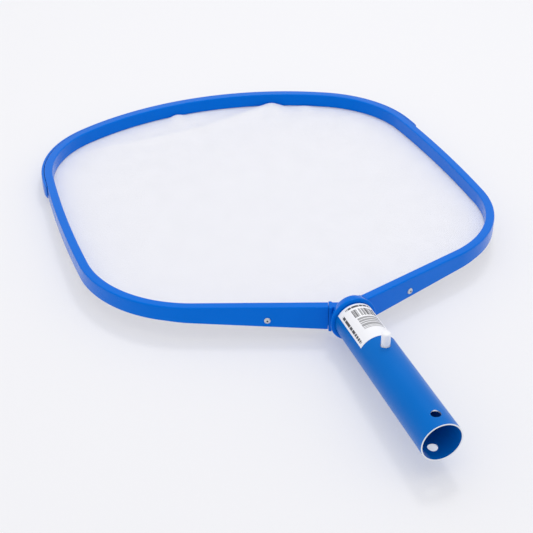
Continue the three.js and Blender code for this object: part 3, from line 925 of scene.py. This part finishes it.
socket_radius = TUBE_RADIUS + SLIDING_GAP
socket_floor = COLLAR_REAR + SOCKET_DEPTH
cut_away(
    hub,
    turned(
        "socket",
        [
            (0, COLLAR_REAR - CUTTER_PAST),
            (socket_radius, COLLAR_REAR - CUTTER_PAST),
            (socket_radius, socket_floor),
            (0, socket_floor),
        ],
        HUB_STEPS,
    ),
)
plug_outer = BORE_RADIUS - SLIDING_GAP
plug_inner = plug_outer - PLUG_WALL
plug = turned(
    "plug",
    rounded(
        [
            (plug_inner, PLUG_REAR, LIP_ROUND),
            (plug_outer, PLUG_REAR, EDGE_ROUND / 2),
            (plug_outer, socket_floor + JOIN_DEPTH, 0),
            (plug_inner, socket_floor + JOIN_DEPTH, 0),
        ]
    ),
    HUB_STEPS,
)
spigot_outer = -RIM_WALL - SLIDING_GAP
spigot_inner = -RIM_THICKNESS + RIM_WALL + SLIDING_GAP
spigot_top = ceiling - SLIDING_GAP
spigot_bottom = RIM_BOTTOM + SPIGOT_ABOVE_BOTTOM
spigots = arm_pieces(
    "spigot",
    FLANGE_FACE - JOIN_DEPTH,
    SPIGOT_END,
    rounded(
        [
            (spigot_outer, spigot_bottom, LIP_ROUND),
            (spigot_outer, spigot_top, LIP_ROUND),
            (spigot_inner, spigot_top, LIP_ROUND),
            (spigot_inner, spigot_bottom, LIP_ROUND),
        ]
    ),
)
hub = joined("hub_moulding", hub, plug, *spigots)
hub.data.materials.clear()
hub.data.materials.append(blue_plastic)
shade(hub, CRISP_ANGLE)
stand_in(place(hub), "hub_plastic", "hub")

# %% [markdown]
# ## The handle tube
#
# The tube is drawn and anodised aluminium, sawn to length after it was coloured, so its cut end
# and the edges of its drilled holes are bare metal. The lathed wall has many sides and exact
# holes. Boolean faces shade badly when smoothed, so each corner gets the normal of the true
# cylinder instead. A face attribute marks what the saw and the drill left bare.

# %% Turn the tube and drill it
TUBE_STEPS = 192
HOLE_RADIUS = 3.4 * MM
END_HOLE_Y = tube_mouth + 11 * MM
CLIP_HOLE_Y = tube_mouth + 85 * MM
TUBE_RIVET_Y = COLLAR_REAR - 8 * MM
RIVET_HOLE_RADIUS = 1.75 * MM
MOUTH_CHAMFER = 0.18 * MM
WALL_LEVEL = 0.02 * MM
HOLE_STEPS = 64

tube = turned(
    "anodised_tube",
    rounded(
        [
            (BORE_RADIUS, tube_mouth, MOUTH_CHAMFER),
            (TUBE_RADIUS, tube_mouth, MOUTH_CHAMFER),
            (TUBE_RADIUS, tube_front, 0),
            (BORE_RADIUS, tube_front, 0),
        ]
    ),
    TUBE_STEPS,
)


def drill(radius, y, low, high):
    bit = turned("bit", [(0, low), (radius, low), (radius, high), (0, high)], HOLE_STEPS, along="z")
    bit.data.transform(Matrix.Translation((0, y, 0)))
    return bit


through = 1.5 * TUBE_RADIUS
cut_away(tube, drill(HOLE_RADIUS, END_HOLE_Y, -through, through))
cut_away(tube, drill(HOLE_RADIUS, CLIP_HOLE_Y, -through, through))
cut_away(tube, drill(RIVET_HOLE_RADIUS, TUBE_RIVET_Y, -through, 0))


def finish_tube(mesh):
    """True cylinder normals on both walls, and the bare attribute on cut faces."""
    bare, normals = [], np.zeros((len(mesh.loops), 3))
    for face in mesh.polygons:
        radii = [math.hypot(mesh.vertices[v].co.x, mesh.vertices[v].co.z) for v in face.vertices]
        level = max(radii) - min(radii) < WALL_LEVEL
        on_wall = [level and abs(radii[0] - r) < WALL_LEVEL for r in (TUBE_RADIUS, BORE_RADIUS)]
        bare.append(0.0 if any(on_wall) else 1.0)
        for loop in face.loop_indices:
            co = mesh.vertices[mesh.loops[loop].vertex_index].co
            out = Vector((co.x, 0, co.z)).normalized()
            normals[loop] = out if on_wall[0] else -out if on_wall[1] else face.normal
    mesh.shade_smooth()
    mesh.attributes.new("bare", "FLOAT", "FACE").data.foreach_set("value", bare)
    mesh.normals_split_custom_set(normals.tolist())
    return sum(bare)


bare_faces = finish_tube(tube.data)
tube.data.materials.clear()
tube.data.materials.append(tube_finish)
stand_in(place(tube), "tube_finish", "handle_tube")
print(int(bare_faces), "of the tube's faces are bare metal")

# %% [markdown]
# ## The label
#
# A paper label is stuck over the top of the tube, close behind the collar. It is a thin curved
# shell with its own UV map, so that the print lies flat on the paper and follows the bend. The
# print is only rows of plain bars and dashes, which stand for print without being letters.

# %% Bend the label round the tube
LABEL_GAP = 0.08 * MM
LABEL_THICKNESS = 0.12 * MM
LABEL_HALF_ANGLE = math.radians(61)
LABEL_FRONT = COLLAR_REAR - 1.2 * MM
LABEL_LENGTH = 39.5 * MM
LABEL_STEPS = 72


def label_grid(radius):
    angles = [LABEL_HALF_ANGLE * (1 - 2 * i / LABEL_STEPS) for i in range(LABEL_STEPS + 1)]
    ends = (LABEL_FRONT - LABEL_LENGTH, LABEL_FRONT)
    return [(-radius * math.sin(a), y, radius * math.cos(a)) for a in angles for y in ends]


outer = label_grid(TUBE_RADIUS + LABEL_GAP + LABEL_THICKNESS)
inner = label_grid(TUBE_RADIUS + LABEL_GAP)
under = len(outer)
faces = []
for i in range(0, under - 2, 2):
    faces += [(i, i + 2, i + 3, i + 1), (under + i, under + i + 1, under + i + 3, under + i + 2)]
    faces += [(i, under + i, under + i + 2, i + 2), (i + 1, i + 3, under + i + 3, under + i + 1)]
last = under - 2
faces += [(0, 1, under + 1, under), (last, under + last, under + last + 1, last + 1)]
label = new_object("paper_label", outer + inner, faces)
label_uv = label.data.uv_layers.new(name="print")
for loop in label.data.loops:
    co = label.data.vertices[loop.vertex_index].co
    across = 0.5 + math.atan2(co.x, co.z) / (2 * LABEL_HALF_ANGLE)
    label_uv.data[loop.index].uv = (across, (LABEL_FRONT - co.y) / LABEL_LENGTH)
face_outwards(label, merge=False)
label.data.materials.append(paper)
stand_in(place(shade(label)), "label_paper", "label")

# %% [markdown]
# ## The V clip
#
# The clip that locks the skimmer into a pole is one springy plastic V inside the tube. Its bend
# stays with the skimmer. Each leg carries a button, which stands out of a hole in the tube and
# slides in when it is pressed, so each button rides on its own body.

# %% Turn the buttons
BUTTON_RADIUS = 3.15 * MM
BUTTON_TOP = TUBE_RADIUS + 10 * MM
BUTTON_ROUND = 1.1 * MM
BUTTON_FLANGE = 4.5 * MM
BUTTON_FLANGE_THICKNESS = 1.2 * MM
FLANGE_ROUND = 0.3 * MM
flange_top = math.sqrt(BORE_RADIUS**2 - BUTTON_FLANGE**2) - SLIDING_GAP
flange_low = flange_top - BUTTON_FLANGE_THICKNESS

button_profile = rounded(
    [
        (0, flange_low, 0),
        (BUTTON_FLANGE, flange_low, FLANGE_ROUND),
        (BUTTON_FLANGE, flange_top, FLANGE_ROUND),
        (BUTTON_RADIUS, flange_top, 0),
        (BUTTON_RADIUS, BUTTON_TOP, BUTTON_ROUND),
        (0, BUTTON_TOP, 0),
    ],
    closed=False,
)
to_hole = Matrix.Translation((0, CLIP_HOLE_Y, 0))
BUTTON_STEPS = 72
upside_down = Matrix.Rotation(math.pi, 4, "Y")
for side, turn_over in (("upper", Matrix.Identity(4)), ("lower", upside_down)):
    button = turned(f"{side}_peg", button_profile, BUTTON_STEPS, along="z")
    button.data.transform(to_hole @ turn_over)
    button.data.materials.append(white_plastic)
    stand_in(place(shade(button), f"{side}_button"), "clip_plastic", f"{side}_button")
print("button stands out", round((BUTTON_TOP - TUBE_RADIUS) / MM, 1), "mm")

# %% [markdown]
# The legs and the bend are one side view, given the clip's width across the tube.

# %% Bend the clip's legs
LEAF_WIDTH = 8 * MM
LEAF_THICKNESS = 0.9 * MM
CLIP_LENGTH = 44 * MM
CLIP_BEND_RADIUS = 3.2 * MM
CLIP_BEND_Y = CLIP_HOLE_Y - CLIP_LENGTH + CLIP_BEND_RADIUS
LEAF_STEPS = 28
BEND_STEPS = 16
LEAF_EDGE = 0.2 * MM
PAD_OVERHANG = 1 * MM


def strip_across(name, centre_line, width, thickness):
    """A flat spring along (y, z, normal y, normal z) points, with its thickness below the line."""
    half, points = width / 2, []
    ring = [(-half, 0), (half, 0), (half, -thickness), (-half, -thickness)]
    for y, z, ny, nz in centre_line:
        points += [(x, y + ny * drop, z + nz * drop) for x, drop in ring]
    faces = [(3, 2, 1, 0), tuple(range(len(points) - 4, len(points)))]
    for i in range(0, len(points) - 4, 4):
        faces += [(i + k, i + (k + 1) % 4, i + 4 + (k + 1) % 4, i + 4 + k) for k in range(4)]
    piece = face_outwards(new_object(name, points, faces))
    edge = piece.modifiers.new("edge", "BEVEL")
    edge.width = LEAF_EDGE
    edge.segments = 2
    edge.limit_method = "ANGLE"
    baked(piece)
    piece.data.materials.append(white_plastic)
    return shade(piece)


pad_top = flange_low - CLEARANCE
pad_end = CLIP_HOLE_Y - BUTTON_FLANGE
leg = [(CLIP_HOLE_Y + BUTTON_FLANGE, pad_top, 0, 1), (pad_end + PAD_OVERHANG, pad_top, 0, 1)]
for i in range(LEAF_STEPS + 1):
    t = i / LEAF_STEPS
    y = pad_end + (CLIP_BEND_Y - pad_end) * t
    tilt = 6 * t * (1 - t) * (CLIP_BEND_RADIUS - pad_top) / (CLIP_BEND_Y - pad_end)
    size = math.hypot(1, tilt)
    z = pad_top + (CLIP_BEND_RADIUS - pad_top) * ease(t, 0, 1)
    leg.append((y, z, -tilt / size, 1 / size))
half_turn = [unit(math.pi / 2 + math.pi * i / BEND_STEPS) for i in range(BEND_STEPS + 1)]
bend_line = [
    (CLIP_BEND_Y + CLIP_BEND_RADIUS * y, CLIP_BEND_RADIUS * z, y, z) for y, z in half_turn
]
for side in ("upper", "lower"):
    leaf = strip_across(f"{side}_leg", leg, LEAF_WIDTH, LEAF_THICKNESS)
    if side == "lower":
        leaf.data.transform(upside_down)
    leaf.data.transform(to_row)
    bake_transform(leaf)
    stand_in(leaf, "clip_plastic", f"{side}_leaf")
clip_bend = place(strip_across("clip_turn", bend_line, LEAF_WIDTH, LEAF_THICKNESS))
stand_in(clip_bend, "clip_plastic", "clip_bend")
print("leg slope starts at", round(pad_end / MM, 1), "and ends at", round(CLIP_BEND_Y / MM, 1))

# %% [markdown]
# ## Blind rivets
#
# Two small rivets hold the rim's ends on the hub's spigots, and a larger one, under the tube,
# holds the plug. A blind rivet is a hollow body with a domed head, and the broken stem sits in a
# hole in the middle of the head. The stem's near-black colour is partly steel and partly painted
# shade of that hole. Both parts repeat at each place, so Geometry Nodes stand a turned shape on
# points that carry the way it faces.

# %% A Geometry Nodes tree that stands a shape on points


def standing_tree():
    tree = bpy.data.node_groups.new("stand_on_points", "GeometryNodeTree")
    for label_text, kind in (
        ("Geometry", "NodeSocketGeometry"),
        ("Shape", "NodeSocketObject"),
        ("Material", "NodeSocketMaterial"),
    ):
        tree.interface.new_socket(label_text, in_out="INPUT", socket_type=kind)
    tree.interface.new_socket("Geometry", in_out="OUTPUT", socket_type="NodeSocketGeometry")
    wire = Wiring(tree)
    start = tree.nodes.new("NodeGroupInput").outputs
    end = tree.nodes.new("NodeGroupOutput")
    facing = wire.node("GeometryNodeInputNamedAttribute", {"data_type": "FLOAT_VECTOR"}, Name="facing")
    aimed = wire.node("FunctionNodeAlignRotationToVector", {"axis": "Z"}, Vector=facing.outputs[0])
    shape = wire.node("GeometryNodeObjectInfo", {"transform_space": "ORIGINAL"}, Object=start["Shape"])
    copies = wire.node(
        "GeometryNodeInstanceOnPoints",
        Points=start["Geometry"],
        Instance=shape.outputs["Geometry"],
        Rotation=aimed.outputs[0],
    )
    real = wire.node("GeometryNodeRealizeInstances", Geometry=copies.outputs[0])
    coated = wire.node("GeometryNodeSetMaterial", Geometry=real.outputs[0], Material=start["Material"])
    wire.link(coated.outputs[0], end.inputs[0])
    return tree


stander = standing_tree()


def stood(name, places, profile, material, slot, *nodes):
    """A turned shape at each (point, facing), as one piece that replaces the given nodes."""
    piece = new_object(name, [point for point, _ in places])
    attribute = piece.data.attributes.new("facing", "FLOAT_VECTOR", "POINT")
    attribute.data.foreach_set("vector", [c for _, facing in places for c in facing])
    shape = shade(turned(name + "_shape", profile, RIVET_STEPS, along="z"), RIVET_SMOOTH)
    modifier = piece.modifiers.new("stand", "NODES")
    modifier.node_group = stander
    set_inputs(modifier, {"Shape": shape, "Material": material})
    baked(piece)
    bpy.data.objects.remove(shape)
    stand_in(place(piece), slot, *nodes)


# %% Set the rivets and their stems
RIVET_FROM_HUB = 58.5 * MM
RIVET_ABOVE_BOTTOM = 5.4 * MM
rim_rivet = dict(head=2.4, dome=1.1, shank=1.2, grip=3.25, bulb=1.7, bulb_length=1.3, stem=0.6)
tube_rivet = dict(head=3.2, dome=1.1, shank=1.6, grip=3.85, bulb=2.3, bulb_length=2.4, stem=0.85)
RIVET_STEPS = 48
RIVET_SMOOTH = math.radians(50)


def rivet_profile(size):
    bore, tail = size["stem"] + 0.1, -size["grip"] - size["bulb_length"]
    corners = [
        (bore, tail, 0),
        (size["bulb"], tail, 0.4),
        (size["bulb"], -size["grip"] - 0.1, 0.4),
        (size["shank"], -size["grip"] - 0.1, 0),
        (size["shank"], 0.03, 0),
        (size["head"], 0.03, 0),
        (size["head"], 0.3, 0.08),
        (0.85 * size["head"], 0.66 * size["dome"], 0.5),
        (0.45 * size["head"], size["dome"], 0.4),
        (bore, size["dome"], 0.12),
    ]
    return [(r * MM, h * MM) for r, h in rounded(corners)]


def stem_profile(size):
    stem, tail = size["stem"], -size["grip"] - size["bulb_length"] - 0.1
    corners = [
        (0, tail - 0.5, 0),
        (stem + 0.25, tail - 0.35, 0.1),
        (stem + 0.25, tail, 0),
        (stem, tail, 0),
        (stem, 0.4 * size["dome"], 0.1),
        (0.5 * stem, 0.25 * size["dome"], 0.05),
        (0, 0.25 * size["dome"], 0),
    ]
    return [(r * MM, h * MM) for r, h in rounded(corners, closed=False)]


rim_places = []
for distance in (RIVET_FROM_HUB, full_route - RIVET_FROM_HUB):
    station = route_at(distance)
    head_place = inset_point(station, 0, bottom_at(station) + RIVET_ABOVE_BOTTOM)
    rim_places.append((head_place, (*station["outward"], 0)))
tube_places = [((0, TUBE_RIVET_Y, -TUBE_RADIUS), (0, 0, -1))]
rivet_sets = (
    ("rim", rim_places, rim_rivet, ("right_rivet", "left_rivet")),
    ("tube", tube_places, tube_rivet, ("tube_rivet",)),
)
for whose, places, size, nodes in rivet_sets:
    stood(whose + "_rivets", places, rivet_profile(size), rivet_metal, "rivet_metal", *nodes)
for whose, places, size, nodes in rivet_sets:
    stems = [node + "_mandrel" for node in nodes]
    stood(whose + "_rivet_stems", places, stem_profile(size), stem_steel_and_hole_shade, "mandrel_steel", *stems)

# %% [markdown]
# ## The net's weave
#
# The net is a fine plain weave of white threads. The pattern follows the cloth's own UV map, which
# is in metres on the flat cut, so a thread keeps its width where the cloth turns over the bead.
# Between the threads the cloth lets some of the floor through, and each thread is a little ridge
# for the light.

# %% A shader group for woven threads


def weave_group():
    tree, start, end = group_with(
        "woven_threads",
        [
            ("Vector", "NodeSocketVector", None),
            ("Pitch", "NodeSocketFloat", 0.0008),
            ("Thread", "NodeSocketFloat", 0.3),
        ],
        [("Cover", "NodeSocketFloat"), ("Height", "NodeSocketFloat"), ("Vary", "NodeSocketFloat")],
    )
    wire = Wiring(tree)
    split = wire.node("ShaderNodeSeparateXYZ", _0=start.outputs["Vector"])
    heights, covers = [], []
    for axis in (0, 1):
        cells = wire.math("DIVIDE", split.outputs[axis], start.outputs["Pitch"])
        other = wire.math("DIVIDE", split.outputs[1 - axis], start.outputs["Pitch"])
        from_middle = wire.math("ABSOLUTE", wire.minus(wire.math("FRACT", cells), 0.5))
        covers.append(wire.math("LESS_THAN", from_middle, start.outputs["Thread"]))
        row = wire.plus(wire.math("FLOOR", cells), float(axis))
        over = wire.math("SINE", wire.times(wire.plus(other, row), math.pi))
        round_off = wire.minus(1.0, wire.math("POWER", wire.times(from_middle, 2.0), 2.0))
        heights.append(wire.times(round_off, wire.plus(wire.times(over, 0.5), 1.0)))
    wire.link(wire.math("MAXIMUM", *covers), end.inputs["Cover"])
    wire.link(wire.math("MAXIMUM", *heights), end.inputs["Height"])
    drift = wire.node("ShaderNodeTexNoise", Vector=start.outputs["Vector"], Scale=60.0, Detail=4.0)
    wire.link(drift.outputs[0], end.inputs["Vary"])
    return tree


WEAVE_PITCH = 0.8 * MM
THREAD_SHARE = 0.27
HOLE_COVER = 0.45
THREAD_DULL = (0.87, 0.87, 0.9, 1)
THREAD_BRIGHT = (0.93, 0.93, 0.96, 1)
THREAD_HEIGHT = 0.12 * MM
THREAD_RELIEF = 0.6
net_mesh, wire, shader = new_material("net_mesh")
weave = wire.node(
    "ShaderNodeGroup",
    {"node_tree": weave_group()},
    Vector=wire.node("ShaderNodeUVMap", {"uv_map": "cloth"}).outputs[0],
    Pitch=WEAVE_PITCH,
    Thread=THREAD_SHARE,
)
thread_colour = wire.mix(weave.outputs["Vary"], THREAD_DULL, THREAD_BRIGHT)
wire.link(thread_colour, shader.inputs["Base Color"])
wire.link(wire.span(weave.outputs["Cover"], 0.0, 1.0, HOLE_COVER, 1.0), shader.inputs["Alpha"])
wire.link(wire.span(weave.outputs["Vary"], 0.3, 0.7, 0.5, 0.65), shader.inputs["Roughness"])
relief = wire.node(
    "ShaderNodeBump", Height=weave.outputs["Height"], Distance=THREAD_HEIGHT, Strength=THREAD_RELIEF
)
wire.link(relief.outputs[0], shader.inputs["Normal"])

# %% [markdown]
# ## The net
#
# One flat piece of cloth covers the whole rim. A Delaunay triangulation fills the outline with
# even triangles, with closer rows near the rim, where the cloth puckers. Outside the rim's inner
# wall, rows of points carry the cloth under the wall and round the bead.

# %% Lay the net's points
NET_INSET = 7.3 * MM
EDGE_ROWS = [0.7, 1.5, 2.6, 4.2, 6.6]
NET_STEP = 3 * MM
NET_GRID = 4 * MM
GRID_FROM_EDGE = 9 * MM
CLEAR_HUB = 18 * MM
NET_ABOVE_BOTTOM = 0.3 * MM

net_start = NET_INSET * math.tan(REAR_SLOPE)
net_stations = route(net_start, full_route - net_start, NET_STEP)


def hub_distance(station):
    return min(station["distance"], full_route - station["distance"])


def edge_inset(station):
    return NET_INSET + FLANGE_LIP * (1 - ease(hub_distance(station), RIM_END, RIM_END + 4 * MM))


edge = [inset_point(s, edge_inset(s), bottom_at(s) + NET_ABOVE_BOTTOM) for s in net_stations]
edge[0] = edge[-1] = (0, edge[0][1] + FLANGE_LIP, edge[0][2])
edge = edge[:-1]
near_edge = [
    inset_point(s, NET_INSET + depth * MM, 0)[:2]
    for depth in EDGE_ROWS
    for s in net_stations
    if hub_distance(s) > CLEAR_HUB + depth * MM
]


def inside(points, loop):
    """Which points lie inside a closed loop, by counting the crossings of a ray."""
    result = np.zeros(len(points), bool)
    for (x1, y1), (x2, y2) in zip(loop, loop[1:] + loop[:1]):
        crosses = (y1 > points[:, 1]) != (y2 > points[:, 1])
        result ^= crosses & (points[:, 0] < (x2 - x1) * (points[:, 1] - y1) / (y2 - y1 + 1e-12) + x1)
    return result


row_gap = NET_GRID * math.sqrt(3) / 2
grid = np.array(
    [
        (x + (row % 2) * NET_GRID / 2, row * row_gap)
        for row in range(int(RIM_LENGTH / row_gap))
        for x in np.arange(-RIM_WIDTH / 2, RIM_WIDTH / 2, NET_GRID)
    ]
)
grid_inset = GRID_FROM_EDGE + NET_INSET
grid_start = grid_inset * math.tan(REAR_SLOPE)
grid_stations = route(grid_start, full_route - grid_start, NET_STEP)
grid_loop = [inset_point(s, grid_inset, 0)[:2] for s in grid_stations]
grid = grid[inside(grid, grid_loop)]
flat_points = [Vector(p[:2]) for p in (*edge, *near_edge, *grid)]
cut = delaunay_2d_cdt(flat_points, [], [list(range(len(edge)))], 1, 1e-6)
net_points = np.array([(v.x, v.y, 0) for v in cut[0]])
net_faces = [tuple(face) for face in cut[2]]
for new_index, sources in enumerate(cut[3]):
    for source in sources:
        if source < len(edge):
            net_points[new_index, 2] = edge[source][2]
on_edge = np.array([any(source < len(edge) for source in sources) for sources in cut[3]])
print("net", len(net_points), "points,", int(on_edge.sum()), "of them on the edge")

# %% [markdown]
# A net this taut hangs as a membrane does: each point comes to rest at the mean height of its
# neighbours, less a little for its weight. Repeating that settles the whole net, with its edge
# held, in a second or so. A cloth run would reach the same shape, but slowly, and with less say
# over the puckers, which come from uneven tension when the net was wound round the bead.

# %% Settle the net as a membrane
SETTLE_ROUNDS = 2500
NET_SAG = 2.6 * MM

pairs = np.array([(f[k], f[(k + 1) % 3]) for f in net_faces for k in range(3)])
pairs = np.concatenate([pairs, pairs[:, ::-1]])
count = len(net_points)
neighbours = np.maximum(1, np.bincount(pairs[:, 0], minlength=count))
lengths = np.linalg.norm(net_points[pairs[:, 0], :2] - net_points[pairs[:, 1], :2], axis=1)
spacing = np.bincount(pairs[:, 0], weights=lengths**2, minlength=count) / neighbours
height = np.where(on_edge, net_points[:, 2], net_points[on_edge, 2].mean())
weight = spacing / (RIM_WIDTH / 2) ** 2 * NET_SAG
for _ in range(SETTLE_ROUNDS):
    mean = np.bincount(pairs[:, 0], weights=height[pairs[:, 1]], minlength=count) / neighbours
    height = np.where(on_edge, height, mean - weight)
print("net hangs from", round(height.min() / MM, 2), "to", round(height.max() / MM, 2), "mm")

# %% [markdown]
# The cloth is slack in places, and stands up in two small tents against the rim's wall, each with
# a lower one near it. A soft ridge runs from the larger one towards the left corner, and very low waves cross the rest.

# %% Pucker the net
# Each tent is its place across the rim, its height, its width and how far in it runs, in
# millimetres. It stands at every wall that it meets there, so it also shows beside a rear arm.
TENTS = [(-25, 2.9, 7.5, 9), (66.5, 4.3, 10, 16), (97, 1.5, 9, 12), (-8, 0.9, 9, 8)]
RIDGE = [(66, 349), (46, 343), (24, 337), (0, 331), (-30, 324.5), (-60, 320.5), (-98, 318), (-128, 317)]
RIDGE_HEIGHT = [3.3, 2.9, 2.4, 2.2, 2.0, 1.7, 1.2, 0.3]
RIDGE_WIDTH = 6.5
CREST_FROM_WALL = 1.3
WAVE_HEIGHT = 1.1
WAVE_FADE = 26
WAVE_SEED = 3.7

outline_2d = np.array([p[:2] for p in edge]) / MM
for i in np.flatnonzero(~on_edge):
    x, y = net_points[i, :2] / MM
    depth = np.sqrt(((outline_2d - (x, y)) ** 2).sum(axis=1)).min()
    rise = 0.0
    for across, tall, wide, deep in TENTS:
        away = (x - across) / wide
        falls = math.exp(-(away**2)) * math.exp(-((max(0, depth - CREST_FROM_WALL) / deep) ** 2))
        rise = max(rise, tall * falls)
    for (ax, ay), (bx, by), first, second in zip(RIDGE, RIDGE[1:], RIDGE_HEIGHT, RIDGE_HEIGHT[1:]):
        run_x, run_y = bx - ax, by - ay
        t = ((x - ax) * run_x + (y - ay) * run_y) / (run_x**2 + run_y**2)
        if 0 <= t <= 1:
            gap = abs((x - ax) * run_y - (y - ay) * run_x) / math.hypot(run_x, run_y)
            rise = max(rise, (first + (second - first) * t) * math.exp(-((gap / RIDGE_WIDTH) ** 2)))
    rise *= min(1.0, depth / CREST_FROM_WALL)
    wave = noise.noise(Vector((x / 75 + y / 160, y / 95 - x / 200, WAVE_SEED))) * WAVE_HEIGHT
    height[i] += (rise + wave * min(1.0, depth / WAVE_FADE)) * MM
net_points[:, 2] = height

# %% [markdown]
# The hem follows the same stations as the edge. It runs under the rim's inner wall and round the
# bead. Beside the hub there is no bead, so there the hem stays low, under the spigot.

# %% Wrap the hem round the bead
WRAP_GAP = 0.17 * MM
WRAP_RADIUS = BEAD_RADIUS + WRAP_GAP
UNDER_WALL = [(6.6, 0.3), (5.7, 0.33), (4.9, 0.5)]
WRAP_FIRST, WRAP_LAST, WRAP_LOW = -110, 100, -32
WRAP_STEPS = 7
WRAP_FADE = 8 * MM
HEM_SMOOTH = math.radians(80)
HEM_FROM_HUB = 17 * MM

edge_index = {}
for new_index, sources in enumerate(cut[3]):
    for source in sources:
        edge_index.setdefault(source, new_index)
vertices = [tuple(p) for p in net_points]
cloth_uv = [tuple(p[:2]) for p in net_points]
previous = None
for number, station in enumerate(net_stations[:-1]):
    if hub_distance(station) < HEM_FROM_HUB:
        previous = None
        continue
    low = bottom_at(station)
    wrapped = ease(hub_distance(station), BEAD_START - MM, BEAD_START + WRAP_FADE)
    last = WRAP_LOW + (WRAP_LAST - WRAP_LOW) * wrapped
    row = [(inset * MM, low + rise * MM) for inset, rise in UNDER_WALL]
    for step in range(WRAP_STEPS + 1):
        angle = math.radians(WRAP_FIRST + (last - WRAP_FIRST) * step / WRAP_STEPS)
        height_on_bead = low + BEAD_ABOVE_BOTTOM + WRAP_RADIUS * math.sin(angle)
        row.append((BEAD_INSET - WRAP_RADIUS * math.cos(angle), height_on_bead))
    indices = [edge_index[number]]
    unrolled = 0.0
    before = (edge_inset(station), edge[number][2])
    for inset, z in row:
        unrolled += math.hypot(inset - before[0], z - before[1])
        before = (inset, z)
        indices.append(len(vertices))
        vertices.append(inset_point(station, inset, z))
        cloth_uv.append(inset_point(station, edge_inset(station) - unrolled, 0)[:2])
    if previous:
        net_faces += [
            (previous[k], indices[k], indices[k + 1], previous[k + 1]) for k in range(len(indices) - 1)
        ]
    previous = indices

net = new_object("net_cloth", vertices, net_faces)
uv_layer = net.data.uv_layers.new(name="cloth")
for loop in net.data.loops:
    uv_layer.data[loop.index].uv = cloth_uv[loop.vertex_index]
face_outwards(net, merge=False, upwards=True)
net.data.materials.append(net_mesh)
place(shade(net, HEM_SMOOTH))


stand_in(net, "net_mesh", "net")

# %% [markdown]
# ## Floor and light
#
# The skimmer lies on a seamless pale floor, under one large soft light overhead and a small one in
# front and to the right, with an even pale sky all round. Large soft sources give the blue plastic its thin edge
# highlights, and leave only a faint shadow on the floor. The floor also glows a little, as a lit
# sheet of milky plastic does, which keeps the shadows light.

# %% Floor, light and sky
FLOOR_SIDE = 9.0
SKY_STRENGTH = 0.79
LIGHTS = {
    "softbox": (2.2, Vector((0.1, 0.1, 1.9)), 7.5),
    "gleam": (0.3, Vector((0.36, 0.5, 1.5)), 3.6),
}

FLOOR_GLOW = 0.3
floor_material, _, shader, _ = skinned(
    "floor_paper", (0.6, 0.597, 0.603), 0.7, 0.00005, grain_scale=1500, smudge_scale=2, colour_drift=0.01
)
shader.inputs["Emission Color"].default_value = (0.97, 0.97, 1.0, 1)
shader.inputs["Emission Strength"].default_value = FLOOR_GLOW
half = FLOOR_SIDE / 2
corners = [(x * half, y * half, 0) for x, y in ((-1, -1), (1, -1), (1, 1), (-1, 1))]
floor = new_object("floor", corners, [(0, 1, 2, 3)])
floor.data.materials.append(floor_material)

for name, (side, position, power) in LIGHTS.items():
    lamp = bpy.data.lights.new(name, "AREA")
    lamp.shape = "SQUARE"
    lamp.size = side
    lamp.energy = power
    light = bpy.data.objects.new(name, lamp)
    bpy.context.scene.collection.objects.link(light)
    light.location = position
    light.rotation_euler = (-position).to_track_quat("-Z", "Y").to_euler()

world = bpy.data.worlds.new("pale_sky")
world.use_nodes = True
world.node_tree.nodes["Background"].inputs["Color"].default_value = (0.96, 0.965, 1.0, 1)
world.node_tree.nodes["Background"].inputs["Strength"].default_value = SKY_STRENGTH
bpy.context.scene.world = world
bpy.context.scene.view_settings.view_transform = "Standard"
